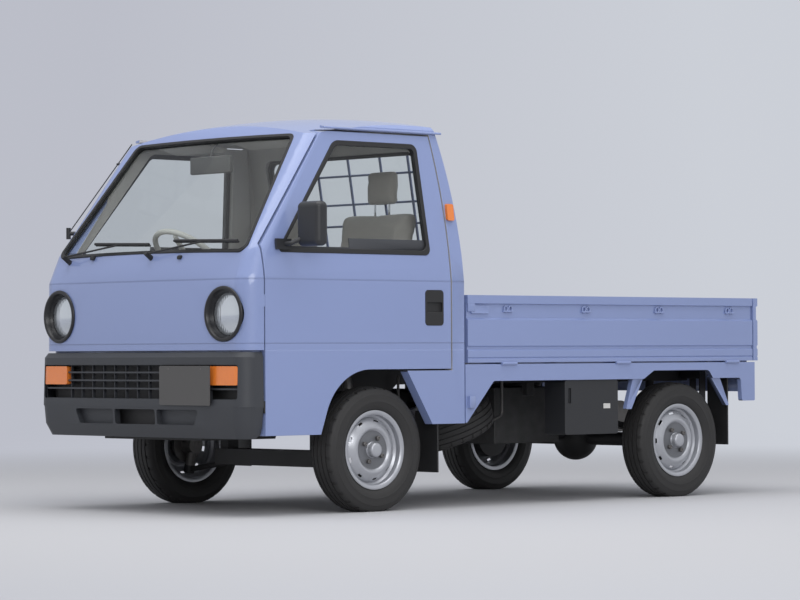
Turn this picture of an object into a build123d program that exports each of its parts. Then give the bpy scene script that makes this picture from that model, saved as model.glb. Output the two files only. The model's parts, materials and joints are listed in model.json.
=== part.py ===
from build123d import *
from functools import lru_cache
from math import cos, radians, sin
import os

# Kei truck: a cab-over pickup with drop sides, right-hand drive.
# Millimetres. The front faces -Y, +X is the vehicle's left and +Z is up.
# The origin is on the ground, on the centre plane, halfway along the overall length.

# Overall
LENGTH = 3195
WIDTH = 1395
WHEELBASE = 1900
TRACK = 1205
FRONT_OVERHANG = 778
REAR_OVERHANG = LENGTH - WHEELBASE - FRONT_OVERHANG
HALF_WIDTH = WIDTH / 2
FRONT_Y = -LENGTH / 2
REAR_Y = LENGTH / 2
FRONT_AXLE_Y = FRONT_Y + FRONT_OVERHANG
REAR_AXLE_Y = REAR_Y - REAR_OVERHANG

# Clearances
SEAT = 0.3
PANEL_GAP = 7
SLIDE_GAP = 0.5
GROOVE_GAP = 0.6

# Cab form
SILL_Z = 335
BUMPER_TOP_Z = 683
CREASE_Z = 975
SCREEN_BASE_Z = 1095
RAIL_Z = 1600
ROOF_Z = 1696
CAB_WALL = 35
FLOOR_THICKNESS = 30
FRONT_PANEL_Y = FRONT_Y + 24
CAB_REAR_Y = -331
SILL_REAR_Z = 364
FOOTWELL_Z = 435
SEAT_DECK_Z = 630
FOOTWELL_REAR_Y = -1180
REAR_WALL_RADIUS = 2000
REAR_WALL_BEND_Z = 1000
ROOF_RADIUS_ALONG = 3000
ROOF_RADIUS_ACROSS = 3500
ROOF_CROWN_Y = -560

# One row for each level of the cab: height, half width, front at the centre plane, sweep back at the corner,
# corner radius
SCREEN_LOW_LEVEL = (SCREEN_BASE_Z, 684, -1522, 20, 78)
SCREEN_HIGH_LEVEL = (RAIL_Z, 621, -1149, 14, 60)
CAB_LEVELS = (
    (BUMPER_TOP_Z, HALF_WIDTH, FRONT_PANEL_Y, 19, 90),
    (CREASE_Z, HALF_WIDTH, FRONT_PANEL_Y + 2, 19, 90),
    SCREEN_LOW_LEVEL,
    SCREEN_HIGH_LEVEL,
    (1626, 617, -1130, 14, 58),
    (1646, 600, -1106, 13, 52),
    (1672, 558, -1064, 12, 44),
    (1760, 400, -900, 10, 30),
)

# Nose below the front panel, hidden by the bumper
NOSE_Y = -1535
NOSE_HALF_WIDTH = 672
NOSE_RADIUS = 60

# Doors: the outline seen from the side
DOOR_THICKNESS = 40
DOOR_INNER_X = 565
DOOR_FRONT_Y = -1460
DOOR_REAR_Y = -410
DOOR_BOTTOM_Z = 332
DOOR_STEP_Z = 600
DOOR_SPLIT_Y = -800
DOOR_TOP_Z = 1600
DOOR_PILLAR_Z = 1112
DOOR_PILLAR_TOP_Y = -1088
DOOR_REAR_RADIUS = 2600
DOOR_REAR_BEND_Z = 1040
HINGE_INSET = 8
HINGE_DEPTH = 2
# Door hinges: bottom and top of each
DOOR_HINGE_Z = ((425, 475), (860, 910))

# Front wheel arch seen from the side
ARCH_TOP_Z = 598
ARCH_FRONT_Y = -1060
ARCH_REAR_Y = -671
ARCH_FRONT_RADIUS = 259

# Side windows
WINDOW_LOW_Z = 1085
WINDOW_TOP_Z = 1562
WINDOW_FRONT_Y = -1385
WINDOW_REAR_Y = -518
WINDOW_LEAN = 0.763
GLASS_THICKNESS = 4
GLASS_DEPTH = 12
GLASS_HOLD = 6
RUBBER_PROUD = 3
RUBBER_DEPTH = 21
RUBBER_WIDTH = 20

# Windscreen and rear window
SCREEN_BOTTOM_HALF = 634
SCREEN_TOP_HALF = 530
SCREEN_HEIGHT = 622
SCREEN_CORNER = 40
SCREEN_BOW_RADIUS = 15600
SCREEN_RUBBER_WIDTH = 15
REAR_WINDOW_HALF = 520
REAR_WINDOW_LOW_Z = 1130
REAR_WINDOW_TOP_Z = 1545
REAR_WINDOW_CORNER = 50

# Front bumper
BUMPER_BOTTOM_Z = 320
BUMPER_STEP_Z = 448
BUMPER_SHOULDER_Z = 655
BUMPER_WALL = 6
GRILLE_LOW_Z = 481
GRILLE_TOP_Z = 624
GRILLE_HALF = 652
SLAT_HEIGHT = 7
SLAT_DEPTH = 22
PLATE_WIDTH = 330
PLATE_HEIGHT = 163
PLATE_CENTRE_X = 342
PLATE_CENTRE_Z = 538

# Lamps
HEADLAMP_X = 555
HEADLAMP_Z = 832
BEZEL_RADIUS = 115
BEZEL_MOUTH_RADIUS = 92
LENS_RADIUS = 89
BEZEL_PROUD = 10
BEZEL_DEPTH = 52
LENS_RECESS = 24
TURN_LAMP_X = 565
TURN_LAMP_WIDTH = 168
TURN_LAMP_HEIGHT = 78
TURN_LAMP_Z = 579

# Load bed
BED_FRONT_Y = -311
DECK_TOP_Z = 648
DECK_THICKNESS = 26
HEADBOARD_THICKNESS = 22
HEADBOARD_REBATE = 4
GATE_LOW_Z = 625
GATE_HEIGHT = 293
GATE_THICKNESS = 30
SKIRT_TOP_Z = 618
SKIRT_LOW_Z = 545
SKIRT_THICKNESS = 24
GATE_AXIS_OUT = 3
GATE_AXIS_Z = 620
HINGE_RADIUS = 6.5
HINGE_LENGTH = 92
RAIL_BAND_HEIGHT = 36
RECESS_HEIGHT = 67
RECESS_DEPTH = 10

# Frame
FRAME_HALF = 300
FRAME_WIDTH = 56

# Wheels
TYRE_RADIUS = 268
AXLE_Z = 260
TYRE_HALF_WIDTH = 71
RIM_FLANGE_RADIUS = 168
BEAD_RADIUS = 152
RIM_HALF_WIDTH = 55
RIM_WALL = 5
HUB_BORE_RADIUS = 24
WHEEL_X = TRACK / 2
DISC_WINDOWS = 9
KINGPIN_LOW_X = 575
KINGPIN_LOW_Z = 172
KINGPIN_TOP_X = 470
KINGPIN_TOP_Z = 592

# Cabin
STEERING_X = -320
STEERING_Y = -1028
STEERING_Z = 1094
STEERING_TILT = 40
STEERING_RADIUS = 185
STEERING_RIM = 13
SEAT_X = 310


# Bumper: height, half width, front at the centre plane, sweep back at the corner, corner radius
BUMPER_LEVELS = (
    (BUMPER_BOTTOM_Z, 668, FRONT_Y + 36, 16, 60),
    (372, 684, FRONT_Y + 11, 17, 64),
    (BUMPER_STEP_Z - 3, 693, FRONT_Y + 6, 18, 70),
    (BUMPER_STEP_Z + 3, 696, FRONT_Y + 4, 18, 70),
    (BUMPER_SHOULDER_Z, 692, FRONT_Y + 8, 18, 70),
    (BUMPER_TOP_Z - 8, 684, FRONT_Y + 26, 17, 62),
)
LOWER_OPENING_LOW_Z = 375
LOWER_OPENING_TOP_Z = 438
# Lower openings: left and right edge at the top, the same at the foot, open to the air
LOWER_OPENINGS = (
    (-416, -148, -386, -148, False),
    (-136, 136, -136, 136, True),
    (148, 416, 148, 386, False),
)
POCKET_DEPTH = 26
NOSE_ARM_X = 400
GRILLE_CORNER = 12
GRILLE_FLANGE = 9
# The grille's bow in plan: half width, front at the centre plane, sweep back, corner radius
GRILLE_BOW = (692, FRONT_Y + 8, 18, 70)
SLAT_Z = (592, 558, 524)
SLAT_RECESS = 8
DIVIDER_COUNT = 13
DIVIDER_PITCH = 78
PLATE_THICKNESS = 2.5
PLATE_BOLT_PITCH = 210
PLATE_BOLT_RADIUS = 4
PLATE_BOLT_Z = 607
PLATE_BOSS_Z = 468
LAMP_TURN = 2.5
MARKER_Y = -388
MARKER_Z = 1274
MARKER_WIDTH = 40
MARKER_HEIGHT = 72
MARKER_PROUD = 13
TAIL_LAMP_X = 560
TAIL_LAMP_Z = 545
TAIL_LAMP_WIDTH = 190
TAIL_LAMP_HEIGHT = 78
TAIL_LAMP_DEPTH = 14
TAIL_LAMP_PROUD = 12
WIPER_PIVOT_LOW = -24
WIPER_BLADE_LOW = 42
WIPER_STAND_OFF = 24
WIPER_SPINDLE = 60
# Wipers: pivot, start and end of the blade, across the vehicle
WIPERS = (
    (-530, -360, 20),
    (45, 180, 600),
)
# Aerial: middle of its base, the clip on the pillar, and how far past the clip it reaches
AERIAL_BASE = (-664, -1430, 1200)
AERIAL_CLIP = (-641, -1173, 1513)
AERIAL_REACH = 0.29
DASH_GAP = 12
DASH_DOOR_Y = -1472
LAMP_ROOM_Y = -1468
# Instrument binnacle seen from the side, and its reach across the vehicle
BINNACLE = (
    (-1340, 900),
    (-1340, 1085),
    (-1235, 1112),
    (-1160, 1080),
    (-1185, 960),
    (-1240, 900),
)
BINNACLE_X = (-480, -160)
HANDLE_Y = -508
HANDLE_Z = 861
HANDLE_WIDTH = 107
HANDLE_HEIGHT = 151
HANDLE_PROUD = 2
HANDLE_DEPTH = 12
RAIL_FRONT_Y = -1078
RAIL_REAR_Y = -402
COLUMN_TOP = 90
COLUMN_LENGTH = 730
SEAT_HALF_WIDTH = 240
HEADREST_Y = -448
HEADREST_Z = 1390
BED_ARCH_TOP_Z = 583
REAR_LEG_FRONT_Y = 1476
REAR_LEG_LOW_Z = 437
REAR_BEAM_Y = 1575
REAR_BEAM_DEPTH = 60
REAR_BEAM_LOW_Z = 480
DECK_RIB_PITCH = 62
DECK_GROOVE = 26
SILL_WIDTH = 60
SILL_Y = (-150, 230, 690, 1240)
GATE_HINGE_Y = (-61, 667, 1413)
TAILGATE_HINGE_X = (-450, 0, 450)
STOP_PROUD = 16
STOP_Y = -297
STOP_Z = 455
HEADBOARD_HALF = HALF_WIDTH - GATE_THICKNESS - PANEL_GAP
# Pressed panels in the headboard: bottom and top
HEADBOARD_PANELS = ((700, 770), (800, 870))
GUARD_HALF = 560
GUARD_LOW_Z = 1115
GUARD_TOP_Z = 1575
GUARD_BAR_X = (-390, -210, 0, 210, 390)
GUARD_BAR_Z = (1238, 1333, 1460)
SIDE_GATE_FRONT_Y = BED_FRONT_Y + 2
SIDE_GATE_REAR_Y = REAR_Y - GATE_THICKNESS - PANEL_GAP
TAILGATE_HALF = HALF_WIDTH
FRAME_LOW_Z = 530
FRAME_TOP_Z = 608
FRAME_CAB_Z = 505
FRAME_NOSE_Z = 308
FRAME_FRONT_Y = -1492
# Cross members: place along the frame, bottom, top
FRAME_CROSS = (
    (-1465, 308, 398),
    (-1150, 320, 385),
    (-440, 515, 590),
    (780, 540, 600),
    (1440, 540, 600),
)
# Mounting pads: place along the frame, bottom, top
FRAME_PADS = (
    (-1400, 396, 404.7),
    (-1200, 396, 404.7),
    (-1000, 590, 599.7),
    (-380, 590, 599.7),
)
SPRING_X = 430
SPRING_EYES_Y = (680, 1470)
SPRING_EYE_Z = 420
SPRING_EYE_HALF = 27 - SEAT
TOOL_BOX_X = 688
ENGINE_REAR_Y = 720
# The pipe and the shaft leave the engine on a slope: their ends start clear of its rear face
PIPE_START_Y = ENGINE_REAR_Y + 3.1
SHAFT_START_Y = ENGINE_REAR_Y + 2.6
DISC_FACE = 30
HUB_PIN_REACH = 4
STRUT_RADIUS = 22
FLAP_INNER_X = 548
FLAP_OUTER_X = 688
FLAP_THICKNESS = 8
FRONT_FLAP_Y = -486
FRONT_FLAP_LOW_Z = 156
FRONT_FLAP_TOP_Z = 420
REAR_FLAP_Y = 1406
REAR_FLAP_LOW_Z = 232
SPARE_X = 240
SPARE_Y = -80
SPARE_Z = 356
SPARE_TILT = 20
CARRIER_RADIUS = 6
# Road wheels: name, place across, place along
WHEELS = (
    ("front_left", WHEEL_X, FRONT_AXLE_Y),
    ("front_right", -WHEEL_X, FRONT_AXLE_Y),
    ("rear_left", WHEEL_X, REAR_AXLE_Y),
    ("rear_right", -WHEEL_X, REAR_AXLE_Y),
)


def block(x, y, z):
    """A block between two limits on each axis."""
    size = (x[1] - x[0], y[1] - y[0], z[1] - z[0])
    centre = ((x[0] + x[1]) / 2, (y[0] + y[1]) / 2, (z[0] + z[1]) / 2)
    return Pos(*centre) * Box(*size)


def outline(points, radii=0):
    """A closed flat outline with rounded corners."""
    return make_face(FilletPolyline(*points, radius=radii, close=True))


def side_prism(face, x0, x1):
    """Extrude a (y, z) outline across the vehicle, from x0 to x1."""
    return extrude(Plane.YZ.offset(x0) * face, amount=x1 - x0)


def front_prism(face, y0, y1):
    """Extrude an (x, z) outline along the vehicle, from y0 to y1."""
    plane = Plane((0, y1, 0), x_dir=(1, 0, 0), z_dir=(0, -1, 0))
    return extrude(plane * face, amount=y1 - y0)


def plan_prism(face, z0, z1):
    """Extrude an (x, y) outline upwards, from z0 to z1."""
    return extrude(Plane.XY.offset(z0) * face, amount=z1 - z0)


def rod(start, end, radius):
    """A round bar between two points."""
    start = Vector(*start)
    end = Vector(*end)
    along = end - start
    plane = Plane(start, z_dir=along)
    return extrude(plane * Circle(radius), amount=along.length)


def bent_rod(points, radius, bend):
    """A round bar along straight runs joined by bends."""
    path = FilletPolyline(*points, radius=bend)
    start = Plane(path @ 0, z_dir=path % 0)
    return sweep(start * Circle(radius), path=path)


def both_sides(piece):
    """A piece and its mirror image across the centre plane."""
    return [piece, mirror(piece, Plane.YZ)]


def level_outline(half_width, front, sweep_back, radius):
    """One level of the cab in plan: bowed front, rounded corners, open straight to the rear."""
    rear = 0
    bow = ThreePointArc((-half_width, front + sweep_back), (0, front), (half_width, front + sweep_back))
    left = Line((half_width, front + sweep_back), (half_width, rear))
    back = Line((half_width, rear), (-half_width, rear))
    right = Line((-half_width, rear), (-half_width, front + sweep_back))
    face = make_face([bow, left, back, right])
    corners = [corner for corner in face.vertices() if corner.Y < rear - 1]
    return fillet(corners, radius)


def roof_cap(inset):
    """Everything below the crowned roof."""
    radius = ROOF_RADIUS_ALONG - inset
    across = ROOF_RADIUS_ACROSS
    reach = 900
    drop = across - (across**2 - reach**2) ** 0.5
    top = ThreePointArc((-reach, radius - drop), (0, radius), (reach, radius - drop))
    right = Line((reach, radius - drop), (reach, radius - 1600))
    low = Line((reach, radius - 1600), (-reach, radius - 1600))
    left = Line((-reach, radius - 1600), (-reach, radius - drop))
    face = make_face([top, right, low, left])
    centre_z = ROOF_Z - ROOF_RADIUS_ALONG
    plane = Plane((0, ROOF_CROWN_Y, centre_z), x_dir=(1, 0, 0), z_dir=(0, -1, 0))
    axis = Axis((0, ROOF_CROWN_Y, centre_z), (1, 0, 0))
    turn = 30
    cap = revolve(plane * face, axis, 2 * turn)
    return cap.rotate(axis, -turn)


def rear_profile(inset):
    """The cab seen from the side behind the doors: upright, then bowed forward to the roof."""
    y = CAB_REAR_Y - inset
    radius = REAR_WALL_RADIUS - inset
    top_z = 1760
    rise = top_z - REAR_WALL_BEND_Z
    lean = radius - (radius**2 - rise**2) ** 0.5
    middle = radius - (radius**2 - (rise / 2) ** 2) ** 0.5
    upright = Line((y, 0), (y, REAR_WALL_BEND_Z))
    bowed = ThreePointArc(
        (y, REAR_WALL_BEND_Z),
        (y - middle, REAR_WALL_BEND_Z + rise / 2),
        (y - lean, top_z),
    )
    top = Line((y - lean, top_z), (FRONT_Y - 100, top_z))
    front = Line((FRONT_Y - 100, top_z), (FRONT_Y - 100, 0))
    low = Line((FRONT_Y - 100, 0), (y, 0))
    return make_face([upright, bowed, top, front, low])


@lru_cache
def cab_form(inset):
    """The cab's outside, moved inwards by inset: the hollow and the glass use it too."""
    levels = []
    for z, half_width, front, sweep_back, radius in CAB_LEVELS:
        level = level_outline(half_width - inset, front + inset, sweep_back, max(radius - inset, 8))
        levels.append(Plane.XY.offset(z) * level)
    upper = loft(levels, ruled=True)
    upper = upper & side_prism(rear_profile(inset), -WIDTH, WIDTH) & roof_cap(inset)
    nose_face = level_outline(NOSE_HALF_WIDTH - inset, NOSE_Y + inset, 10, NOSE_RADIUS)
    low_z = SILL_Z - 60
    nose = plan_prism(nose_face, low_z, BUMPER_TOP_Z)
    flank = block((-HALF_WIDTH + inset, HALF_WIDTH - inset), (DOOR_FRONT_Y - PANEL_GAP, 0), (low_z, BUMPER_TOP_Z))
    lower = (nose + flank) & side_prism(rear_profile(inset), -WIDTH, WIDTH)
    return upper + lower


def door_outline(grow=0):
    """The door seen from the side, with the wheel arch cut out of its foot."""
    front = DOOR_FRONT_Y - grow
    rear = DOOR_REAR_Y + grow
    low = DOOR_BOTTOM_Z - grow
    top = DOOR_TOP_Z + grow
    rise = top - DOOR_REAR_BEND_Z
    radius = DOOR_REAR_RADIUS
    lean = radius - (radius**2 - rise**2) ** 0.5
    middle = radius - (radius**2 - (rise / 2) ** 2) ** 0.5
    step = DOOR_STEP_Z - grow
    edges = [
        Line((front, low), (front, DOOR_PILLAR_Z + grow)),
        Line((front, DOOR_PILLAR_Z + grow), (DOOR_PILLAR_TOP_Y - grow, top)),
        Line((DOOR_PILLAR_TOP_Y - grow, top), (rear - lean, top)),
        ThreePointArc(
            (rear - lean, top),
            (rear - middle, DOOR_REAR_BEND_Z + rise / 2),
            (rear, DOOR_REAR_BEND_Z),
        ),
        Line((rear, DOOR_REAR_BEND_Z), (rear, step)),
        Line((rear, step), (DOOR_SPLIT_Y, step)),
        Line((DOOR_SPLIT_Y, step), (DOOR_SPLIT_Y, low)),
        Line((DOOR_SPLIT_Y, low), (front, low)),
    ]
    return make_face(edges)


def arch_outline(grow=0):
    """The front wheel arch seen from the side: a long curve in front, a straight edge behind."""
    points = (
        (-1171 - grow, 290),
        (ARCH_FRONT_Y - grow, ARCH_TOP_Z + grow),
        (ARCH_REAR_Y + grow, ARCH_TOP_Z + grow),
        (-475 + grow, 290),
    )
    return outline(points, (0, ARCH_FRONT_RADIUS, 25, 0))


def window_outline(shrink=0):
    """A side window seen from the side."""
    lean = (WINDOW_TOP_Z - WINDOW_LOW_Z) * WINDOW_LEAN
    points = (
        (WINDOW_FRONT_Y + shrink * 1.6, WINDOW_LOW_Z + shrink),
        (WINDOW_FRONT_Y + lean + shrink * 0.6, WINDOW_TOP_Z - shrink),
        (WINDOW_REAR_Y - 28 - shrink, WINDOW_TOP_Z - shrink),
        (WINDOW_REAR_Y - shrink, WINDOW_LOW_Z + shrink),
    )
    return outline(points, (14, 60 - shrink, 34 - shrink / 2, 28))


SCREEN_PLANE = Plane(
    (0, SCREEN_LOW_LEVEL[2], SCREEN_BASE_Z),
    x_dir=(1, 0, 0),
    z_dir=(0, SCREEN_LOW_LEVEL[0] - SCREEN_HIGH_LEVEL[0], SCREEN_HIGH_LEVEL[2] - SCREEN_LOW_LEVEL[2]),
)


def screen_prism(shrink=0):
    """The windscreen's opening, square to the glass."""
    low = shrink - 4
    high = SCREEN_HEIGHT - shrink
    points = (
        (-SCREEN_BOTTOM_HALF + shrink, low),
        (SCREEN_BOTTOM_HALF - shrink, low),
        (SCREEN_TOP_HALF - shrink, high),
        (-SCREEN_TOP_HALF + shrink, high),
    )
    radius = SCREEN_CORNER - shrink / 2
    return extrude(SCREEN_PLANE * outline(points, radius), amount=120, both=True)


def rear_window_prism(shrink=0):
    """The rear window's opening, along the vehicle."""
    points = (
        (-REAR_WINDOW_HALF + shrink, REAR_WINDOW_LOW_Z + shrink),
        (REAR_WINDOW_HALF - shrink, REAR_WINDOW_LOW_Z + shrink),
        (REAR_WINDOW_HALF - 24 - shrink, REAR_WINDOW_TOP_Z - shrink),
        (-REAR_WINDOW_HALF + 24 + shrink, REAR_WINDOW_TOP_Z - shrink),
    )
    return front_prism(outline(points, REAR_WINDOW_CORNER - shrink / 2), CAB_REAR_Y - 170, CAB_REAR_Y + 30)


OUTSIDE = cab_form(0)
INSIDE = cab_form(CAB_WALL)
DOOR_INSIDE = cab_form(DOOR_THICKNESS)


def side_slab(depth, thickness):
    """A flat slab along the left side windows, depth below the cab's side."""
    low_z, low_x = SCREEN_LOW_LEVEL[:2]
    high_z, high_x = SCREEN_HIGH_LEVEL[:2]
    slope = (low_x - high_x) / (high_z - low_z)
    points = []
    for z, inward in ((low_z - 60, depth), (high_z, depth), (high_z, depth + thickness), (low_z - 60, depth + thickness)):
        points.append((low_x - slope * (z - low_z) - inward, z))
    return front_prism(outline(points), DOOR_FRONT_Y, DOOR_REAR_Y)


def screen_slab(depth, thickness):
    """A bowed slab along the windscreen, depth below its outer face."""
    half = HALF_WIDTH
    arcs = []
    for inward in (depth, depth + thickness):
        drop = half**2 / (2 * SCREEN_BOW_RADIUS)
        arcs.append(((-half, -drop - inward), (0, -inward), (half, -drop - inward)))
    outer, inner = arcs
    face = make_face([
        ThreePointArc(*outer),
        Line(outer[2], inner[2]),
        ThreePointArc(*inner),
        Line(inner[0], outer[0]),
    ])
    up_slope = SCREEN_PLANE.y_dir
    section = Plane(SCREEN_PLANE.origin - up_slope * 40, x_dir=SCREEN_PLANE.x_dir, z_dir=-up_slope)
    return extrude(section * face, amount=-(SCREEN_HEIGHT + 80))


def rear_slab(depth, thickness):
    """A slab along the rear wall, depth below its outer face."""
    return side_prism(rear_profile(depth), -HALF_WIDTH, HALF_WIDTH) - side_prism(
        rear_profile(depth + thickness), -WIDTH, WIDTH
    )


def lamp_places():
    """Centres of the two headlamps on the front panel."""
    return [(side * HEADLAMP_X, FRONT_PANEL_Y + 13, HEADLAMP_Z) for side in (-1, 1)]


def make_cab_shell():
    """Roof, pillars, front panel, rear wall and stepped floor as one welded shell."""
    shell = OUTSIDE
    hollow_profile = outline(
        (
            (FRONT_Y - 50, FOOTWELL_Z),
            (FOOTWELL_REAR_Y, FOOTWELL_Z),
            (FOOTWELL_REAR_Y, SEAT_DECK_Z),
            (0, SEAT_DECK_Z),
            (0, ROOF_Z + 50),
            (FRONT_Y - 50, ROOF_Z + 50),
        )
    )
    hollow = INSIDE & side_prism(hollow_profile, -WIDTH, WIDTH)
    shell -= hollow
    well_y = FOOTWELL_REAR_Y + FLOOR_THICKNESS
    under_profile = outline(
        (
            (NOSE_Y + CAB_WALL, 0),
            (NOSE_Y + CAB_WALL, FOOTWELL_Z - FLOOR_THICKNESS),
            (well_y, FOOTWELL_Z - FLOOR_THICKNESS),
            (well_y, SEAT_DECK_Z - FLOOR_THICKNESS),
            (10, SEAT_DECK_Z - FLOOR_THICKNESS),
            (10, 0),
        )
    )
    under_half = HALF_WIDTH - DOOR_THICKNESS - PANEL_GAP
    shell -= side_prism(under_profile, -under_half, under_half)
    shell -= block((-WIDTH, WIDTH), (FRONT_Y, 0), (0, SILL_Z))
    shell -= side_prism(arch_outline(), -WIDTH, WIDTH)
    shell -= block((-WIDTH, WIDTH), (ARCH_REAR_Y, 0), (0, SILL_REAR_Z))
    opening = door_outline(PANEL_GAP)
    inner_x = HALF_WIDTH - DOOR_THICKNESS - PANEL_GAP
    door_hole = side_prism(opening, DOOR_INNER_X - PANEL_GAP, WIDTH)
    floor_keep = side_prism(
        outline(
            (
                (FRONT_Y, SILL_Z - 100),
                (FRONT_Y, FOOTWELL_Z),
                (FOOTWELL_REAR_Y, FOOTWELL_Z),
                (FOOTWELL_REAR_Y, SEAT_DECK_Z),
                (0, SEAT_DECK_Z),
                (0, SILL_Z - 100),
            )
        ),
        -inner_x,
        inner_x,
    )
    for side_hole in both_sides(door_hole - floor_keep):
        shell -= side_hole
    shell -= screen_prism()
    shell -= rear_window_prism()
    for x, y, z in lamp_places():
        shell -= rod((x, y - 60, z), (x, y + 80, z), BEZEL_RADIUS - 10)
    rail_face = outline(((606, 1612), (631, 1609), (634, 1612), (633, 1618), (606, 1623)), (0, 2, 1.5, 3, 0))
    for rail in both_sides(front_prism(rail_face, RAIL_FRONT_Y, RAIL_REAR_Y)):
        shell += rail
    for low, high in DOOR_HINGE_Z:
        for lug in both_sides(door_hinge_lug(low, high)):
            shell += lug
    return shell


def door_hinge_lug(low, high):
    """A lug on the left front pillar, hollowed about the door's hinge line."""
    face_y = DOOR_FRONT_Y - SEAT
    root = block((650, NOSE_HALF_WIDTH - 1), (DOOR_FRONT_Y - 24, face_y), (low, high))
    root += block((660, HALF_WIDTH - 1), (DOOR_FRONT_Y - PANEL_GAP, face_y), (low, high))
    hinge_x = HALF_WIDTH - HINGE_DEPTH
    hinge_y = DOOR_FRONT_Y + HINGE_INSET
    sweep_radius = (HINGE_INSET**2 + HINGE_DEPTH**2) ** 0.5 + SEAT
    return root - rod((hinge_x, hinge_y, low - 1), (hinge_x, hinge_y, high + 1), sweep_radius)


def handle_prism(grow=0):
    """The upright handle plate on the door."""
    face = Pos(HANDLE_Y, HANDLE_Z) * RectangleRounded(HANDLE_WIDTH + 2 * grow, HANDLE_HEIGHT + 2 * grow, 16 + grow)
    return side_prism(face, 500, WIDTH)


def make_door(side):
    """A door as thick as the real one, with its window cut through."""
    x0 = DOOR_INNER_X
    body = side_prism(door_outline(), x0, WIDTH) & (OUTSIDE - DOOR_INSIDE)
    body -= side_prism(arch_outline(2), x0, WIDTH)
    body -= side_prism(window_outline(), x0, WIDTH)
    body -= handle_prism(SEAT) - cab_form(HANDLE_DEPTH + SEAT)
    return body if side > 0 else mirror(body, Plane.YZ)


def make_door_glass(side):
    """The door's window pane."""
    pane = side_prism(window_outline(RUBBER_WIDTH + SEAT), 430, WIDTH) & side_slab(GLASS_DEPTH, GLASS_THICKNESS)
    return pane if side > 0 else mirror(pane, Plane.YZ)


def make_door_trim(side):
    """The window's rubber frame and the pull handle."""
    ring = side_prism(window_outline(SLIDE_GAP), 430, WIDTH) - side_prism(window_outline(RUBBER_WIDTH), 430, WIDTH)
    ring = ring & side_slab(-RUBBER_PROUD, RUBBER_PROUD + RUBBER_DEPTH)
    plate = handle_prism() & (cab_form(-HANDLE_PROUD) - cab_form(HANDLE_DEPTH))
    pull = Pos(HANDLE_Y, HANDLE_Z + 2) * RectangleRounded(HANDLE_WIDTH - 16, 42, 6)
    plate -= side_prism(pull, 500, WIDTH) & (cab_form(-HANDLE_PROUD - 5) - cab_form(HANDLE_DEPTH - 3))
    trim = [ring, plate]
    return trim if side > 0 else [mirror(piece, Plane.YZ) for piece in trim]


@lru_cache
def bumper_form(inset):
    """The bumper's outside, moved inwards by inset."""
    levels = []
    for z, half_width, front, sweep_back, radius in BUMPER_LEVELS:
        level = level_outline(half_width - inset, front + inset, sweep_back, max(radius - inset, 8))
        levels.append(Plane.XY.offset(z) * level)
    return loft(levels, ruled=True)


def framed_opening(x0, x1, x0_low, x1_low, low, high, radius, y0, y1):
    """An opening through the bumper's face, narrower at its foot."""
    return front_prism(outline(((x0_low, low), (x1_low, low), (x1, high), (x0, high)), radius), y0, y1)


def grille_opening(grow=0):
    """The wide opening that holds the grille, with the lamps at its ends."""
    points = (
        (-GRILLE_HALF - grow, GRILLE_LOW_Z - grow),
        (GRILLE_HALF + grow, GRILLE_LOW_Z - grow),
        (GRILLE_HALF + grow, GRILLE_TOP_Z + grow),
        (-GRILLE_HALF - grow, GRILLE_TOP_Z + grow),
    )
    return front_prism(outline(points, GRILLE_CORNER), FRONT_Y - 20, FRONT_Y + 130)


def make_front_bumper():
    """A moulded bumper that wraps the nose, hollow behind, with its openings."""
    rear_y = DOOR_FRONT_Y - PANEL_GAP - 1
    keep = block((-WIDTH, WIDTH), (FRONT_Y - 50, rear_y), (0, 900))
    low_cut = block((-WIDTH, WIDTH), (FRONT_Y - 50, 0), (0, BUMPER_LEVELS[-1][0] - BUMPER_WALL))
    nose = plan_prism(level_outline(NOSE_HALF_WIDTH + SEAT, NOSE_Y - SEAT, 10, NOSE_RADIUS), 0, 900)
    bumper = (bumper_form(0) & keep) - (bumper_form(BUMPER_WALL) & low_cut) - nose
    bumper -= grille_opening()
    for x0, x1, x0_low, x1_low, is_open in LOWER_OPENINGS:
        hole = framed_opening(
            x0, x1, x0_low, x1_low, LOWER_OPENING_LOW_Z, LOWER_OPENING_TOP_Z, 10, FRONT_Y - 20, FRONT_Y + 60
        )
        bumper -= hole
        if not is_open:
            back = framed_opening(
                x0 - 8, x1 + 8, x0_low - 8, x1_low + 8, LOWER_OPENING_LOW_Z - 8, LOWER_OPENING_TOP_Z + 4, 10,
                FRONT_Y - 20, FRONT_Y + 60
            )
            pocket = (back - hole) & (bumper_form(BUMPER_WALL - 1) - bumper_form(POCKET_DEPTH))
            panel = back & (bumper_form(POCKET_DEPTH) - bumper_form(POCKET_DEPTH + BUMPER_WALL))
            bumper = bumper + pocket + panel
    for x in (-NOSE_ARM_X, NOSE_ARM_X):
        arm = block((x - 30, x + 30), (FRONT_Y + 4, NOSE_Y + 14), (446, 470))
        bumper += (arm & bumper_form(BUMPER_WALL - 1)) - nose
    return bumper


def turn_lamp_zone(side, grow=0):
    """The space of one front turn lamp at the end of the grille."""
    half_width = TURN_LAMP_WIDTH / 2 + grow
    half_height = TURN_LAMP_HEIGHT / 2 + grow
    x = side * TURN_LAMP_X
    face = Pos(x, TURN_LAMP_Z) * RectangleRounded(2 * half_width, 2 * half_height, 8 + grow)
    return front_prism(face, FRONT_Y - 20, FRONT_Y + 130)


def grille_skin(depth, thickness, low, high):
    """An upright skin that follows the bumper's bow, depth behind its face."""
    half_width, front, sweep_back, radius = GRILLE_BOW
    deep = depth + thickness
    outer = level_outline(half_width - depth, front + depth, sweep_back, radius - depth)
    inner = level_outline(half_width - deep, front + deep, sweep_back, radius - deep)
    return plan_prism(outer - inner, low, high)


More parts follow.
